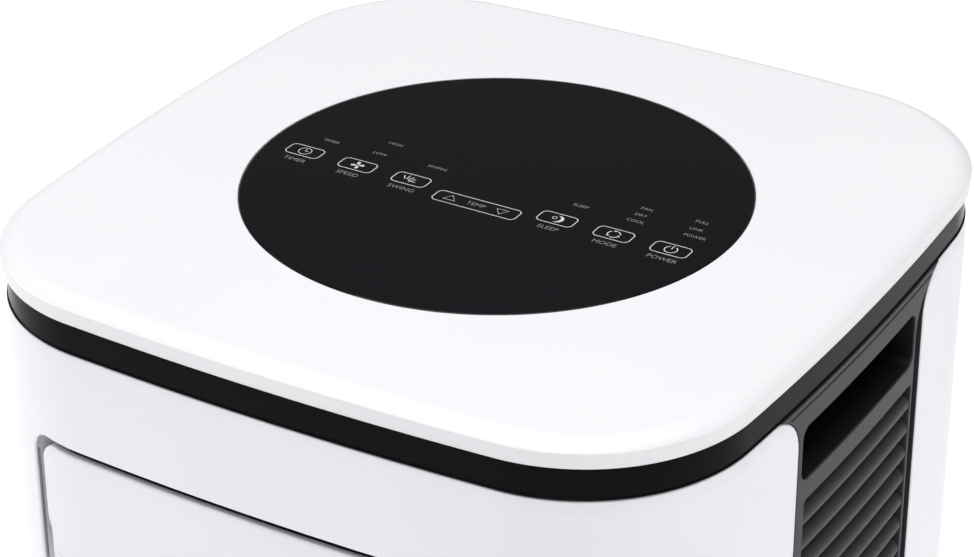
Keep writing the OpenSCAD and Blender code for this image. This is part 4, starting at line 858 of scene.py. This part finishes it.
def cycle_icon(shape, x, y):
    for a in (15, 135, 255):
        stroke(shape, arc(x, y, 2.7, a, a + 88, 9), 0.5, closed=False)
        tip = arc(x, y, 2.7, a + 104, a + 105, 2)[0]
        patch(shape, [tip, *arc(x, y, 3.5, a + 84, a + 85, 2)[:1], *arc(x, y, 1.9, a + 84, a + 85, 2)[:1]])


def power_icon(shape, x, y):
    stroke(shape, arc(x, y, 2.7, 118, 422, 22), 0.44, closed=False)
    stroke(shape, [(x, y + 3.4), (x, y + 0.4)], 0.44, closed=False)


def make_prints():
    keys = [(-87.4, "TIMER", clock_icon), (-60.9, "SPEED", fan_icon), (-34.4, "SWING", swing_icon),
            (35.6, "SLEEP", moon_icon), (61.8, "MODE", cycle_icon), (87.7, "POWER", power_icon)]
    row, key_h = -12.0, 8.8
    bright, dim = Moulding(), Moulding()
    for x, name, icon in keys:
        key_frame(bright, x, row, 16.3, key_h)
        icon(bright, x, row)
        word(dim, name, x + 0.3, row - 8.7, 3.9)
    low = row - 5.9
    key_frame(bright, 0.8, low, 39.5, key_h)
    for x, way in ((-11.6, 1), (12.6, -1)):
        stroke(bright, [(x - 2.9, low - 1.7 * way), (x + 2.9, low - 1.7 * way), (x, low + 2.3 * way)], 0.36)
    word(dim, "TEMP", 0.6, low, 3.7)
    words = [(-82.7, 1.4, "TIMER"), (-58.5, 1.7, "LOW"), (-57.4, 12.8, "HIGH"), (-30.4, 2.6, "SWING"),
             (38.5, 2.7, "SLEEP"), (64.0, 2.3, "COOL"), (63.5, 8.0, "DRY"), (63.2, 13.8, "FAN"),
             (91.0, 2.3, "POWER"), (88.8, 8.3, "LINK"), (88.1, 14.9, "FULL")]
    for x, y, name in words:
        word(dim, name, x, y, 2.9)
    for shape, name, material in ((bright, "key_print", key_print), (dim, "word_print", dim_print)):
        shape.make(name, material, slot="panel_black")


make_shells()
make_grille("grille_right", "side_grille_right", False)
make_grille("grille_left", "side_grille_left", True)
make_lid()
make_glass()
make_neck()
make_flap()
make_prints()

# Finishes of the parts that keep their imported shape
INNER = {
    "board_green": green_board,
    "pocket_black": pocket_black,
    "inner_grey": inner_grey,
    "inner_dark": inner_dark,
    "steel": zinc_steel,
    "coil_fins": fin_stock,
    "foam_white": white_foam,
    "black_steel": black_enamel,
    "rubber": soft_rubber,
    "copper": drawn_copper,
    "float_yellow": float_foam,
    "screw": dark_screw,
    "tyre": caster_tread,
    "shell_white": white_shell,
    "lid_white": white_lid,
    "panel_black": wiped_glass,
    "neck_black": gloss_black,
    "grille_grey": textured_grey,
}
OWN = {"upper_filter": filter_mesh, "lower_filter": filter_mesh}
for part in frame["record"]["subparts"]:
    node = frame["nodes"][part["node"]]
    for slot in node.material_slots:
        slot.material = OWN.get(part["node"], INNER[part["material_slot"]])


def soft_light(name, place, aim, size, power):
    """A square white soft box that shines from a place towards a point, in metres."""
    data = bpy.data.lights.new(name, "AREA")
    data.shape, data.size = "SQUARE", size
    data.energy = power
    light = bpy.data.objects.new(name, data)
    light.location = place
    light.rotation_euler = (Vector(aim) - Vector(place)).to_track_quat("-Z", "Y").to_euler()
    bpy.context.scene.collection.objects.link(light)


def make_studio():
    floor = bpy.data.meshes.new("floor")
    reach, n = 12.0, 4
    grid = [(reach * (2 * i / n - 1), reach * (2 * j / n - 1), 0) for j in range(n + 1) for i in range(n + 1)]
    tiles = [(j * (n + 1) + i, j * (n + 1) + i + 1, (j + 1) * (n + 1) + i + 1, (j + 1) * (n + 1) + i)
             for j in range(n) for i in range(n)]
    floor.from_pydata(grid, [], tiles)
    paper = finish("white paper", ("#FFFFFF", "#FDFDFD"), (0.9, 1.0), grain=2.0, grain_depth=0.02, shades=400.0)
    shader = next(n for n in paper.node_tree.nodes if n.type == "BSDF_PRINCIPLED")
    shader.inputs["Emission Color"].default_value = linear("#FFFFFF")
    shader.inputs["Emission Strength"].default_value = 0.5
    floor.materials.append(paper)
    stage = bpy.data.objects.new("floor", floor)
    bpy.context.scene.collection.objects.link(stage)

    soft_light("top_box", (0.0, -0.5, 3.2), (0, 0, 0.7), 3.0, 101)
    soft_light("left_box", (-3.2, -1.2, 1.5), (0, 0, 0.5), 1.6, 27)
    soft_light("right_box", (2.8, 0.2, 1.1), (0, 0, 0.5), 1.6, 16)
    world = bpy.data.worlds.new("studio")
    world.use_nodes = True
    sky = world.node_tree.nodes["Background"]
    sky.inputs["Color"].default_value = linear("#FFFFFF")
    sky.inputs["Strength"].default_value = 0.12
    bpy.context.scene.world = world
    bpy.context.scene.view_settings.view_transform = "Standard"


make_studio()
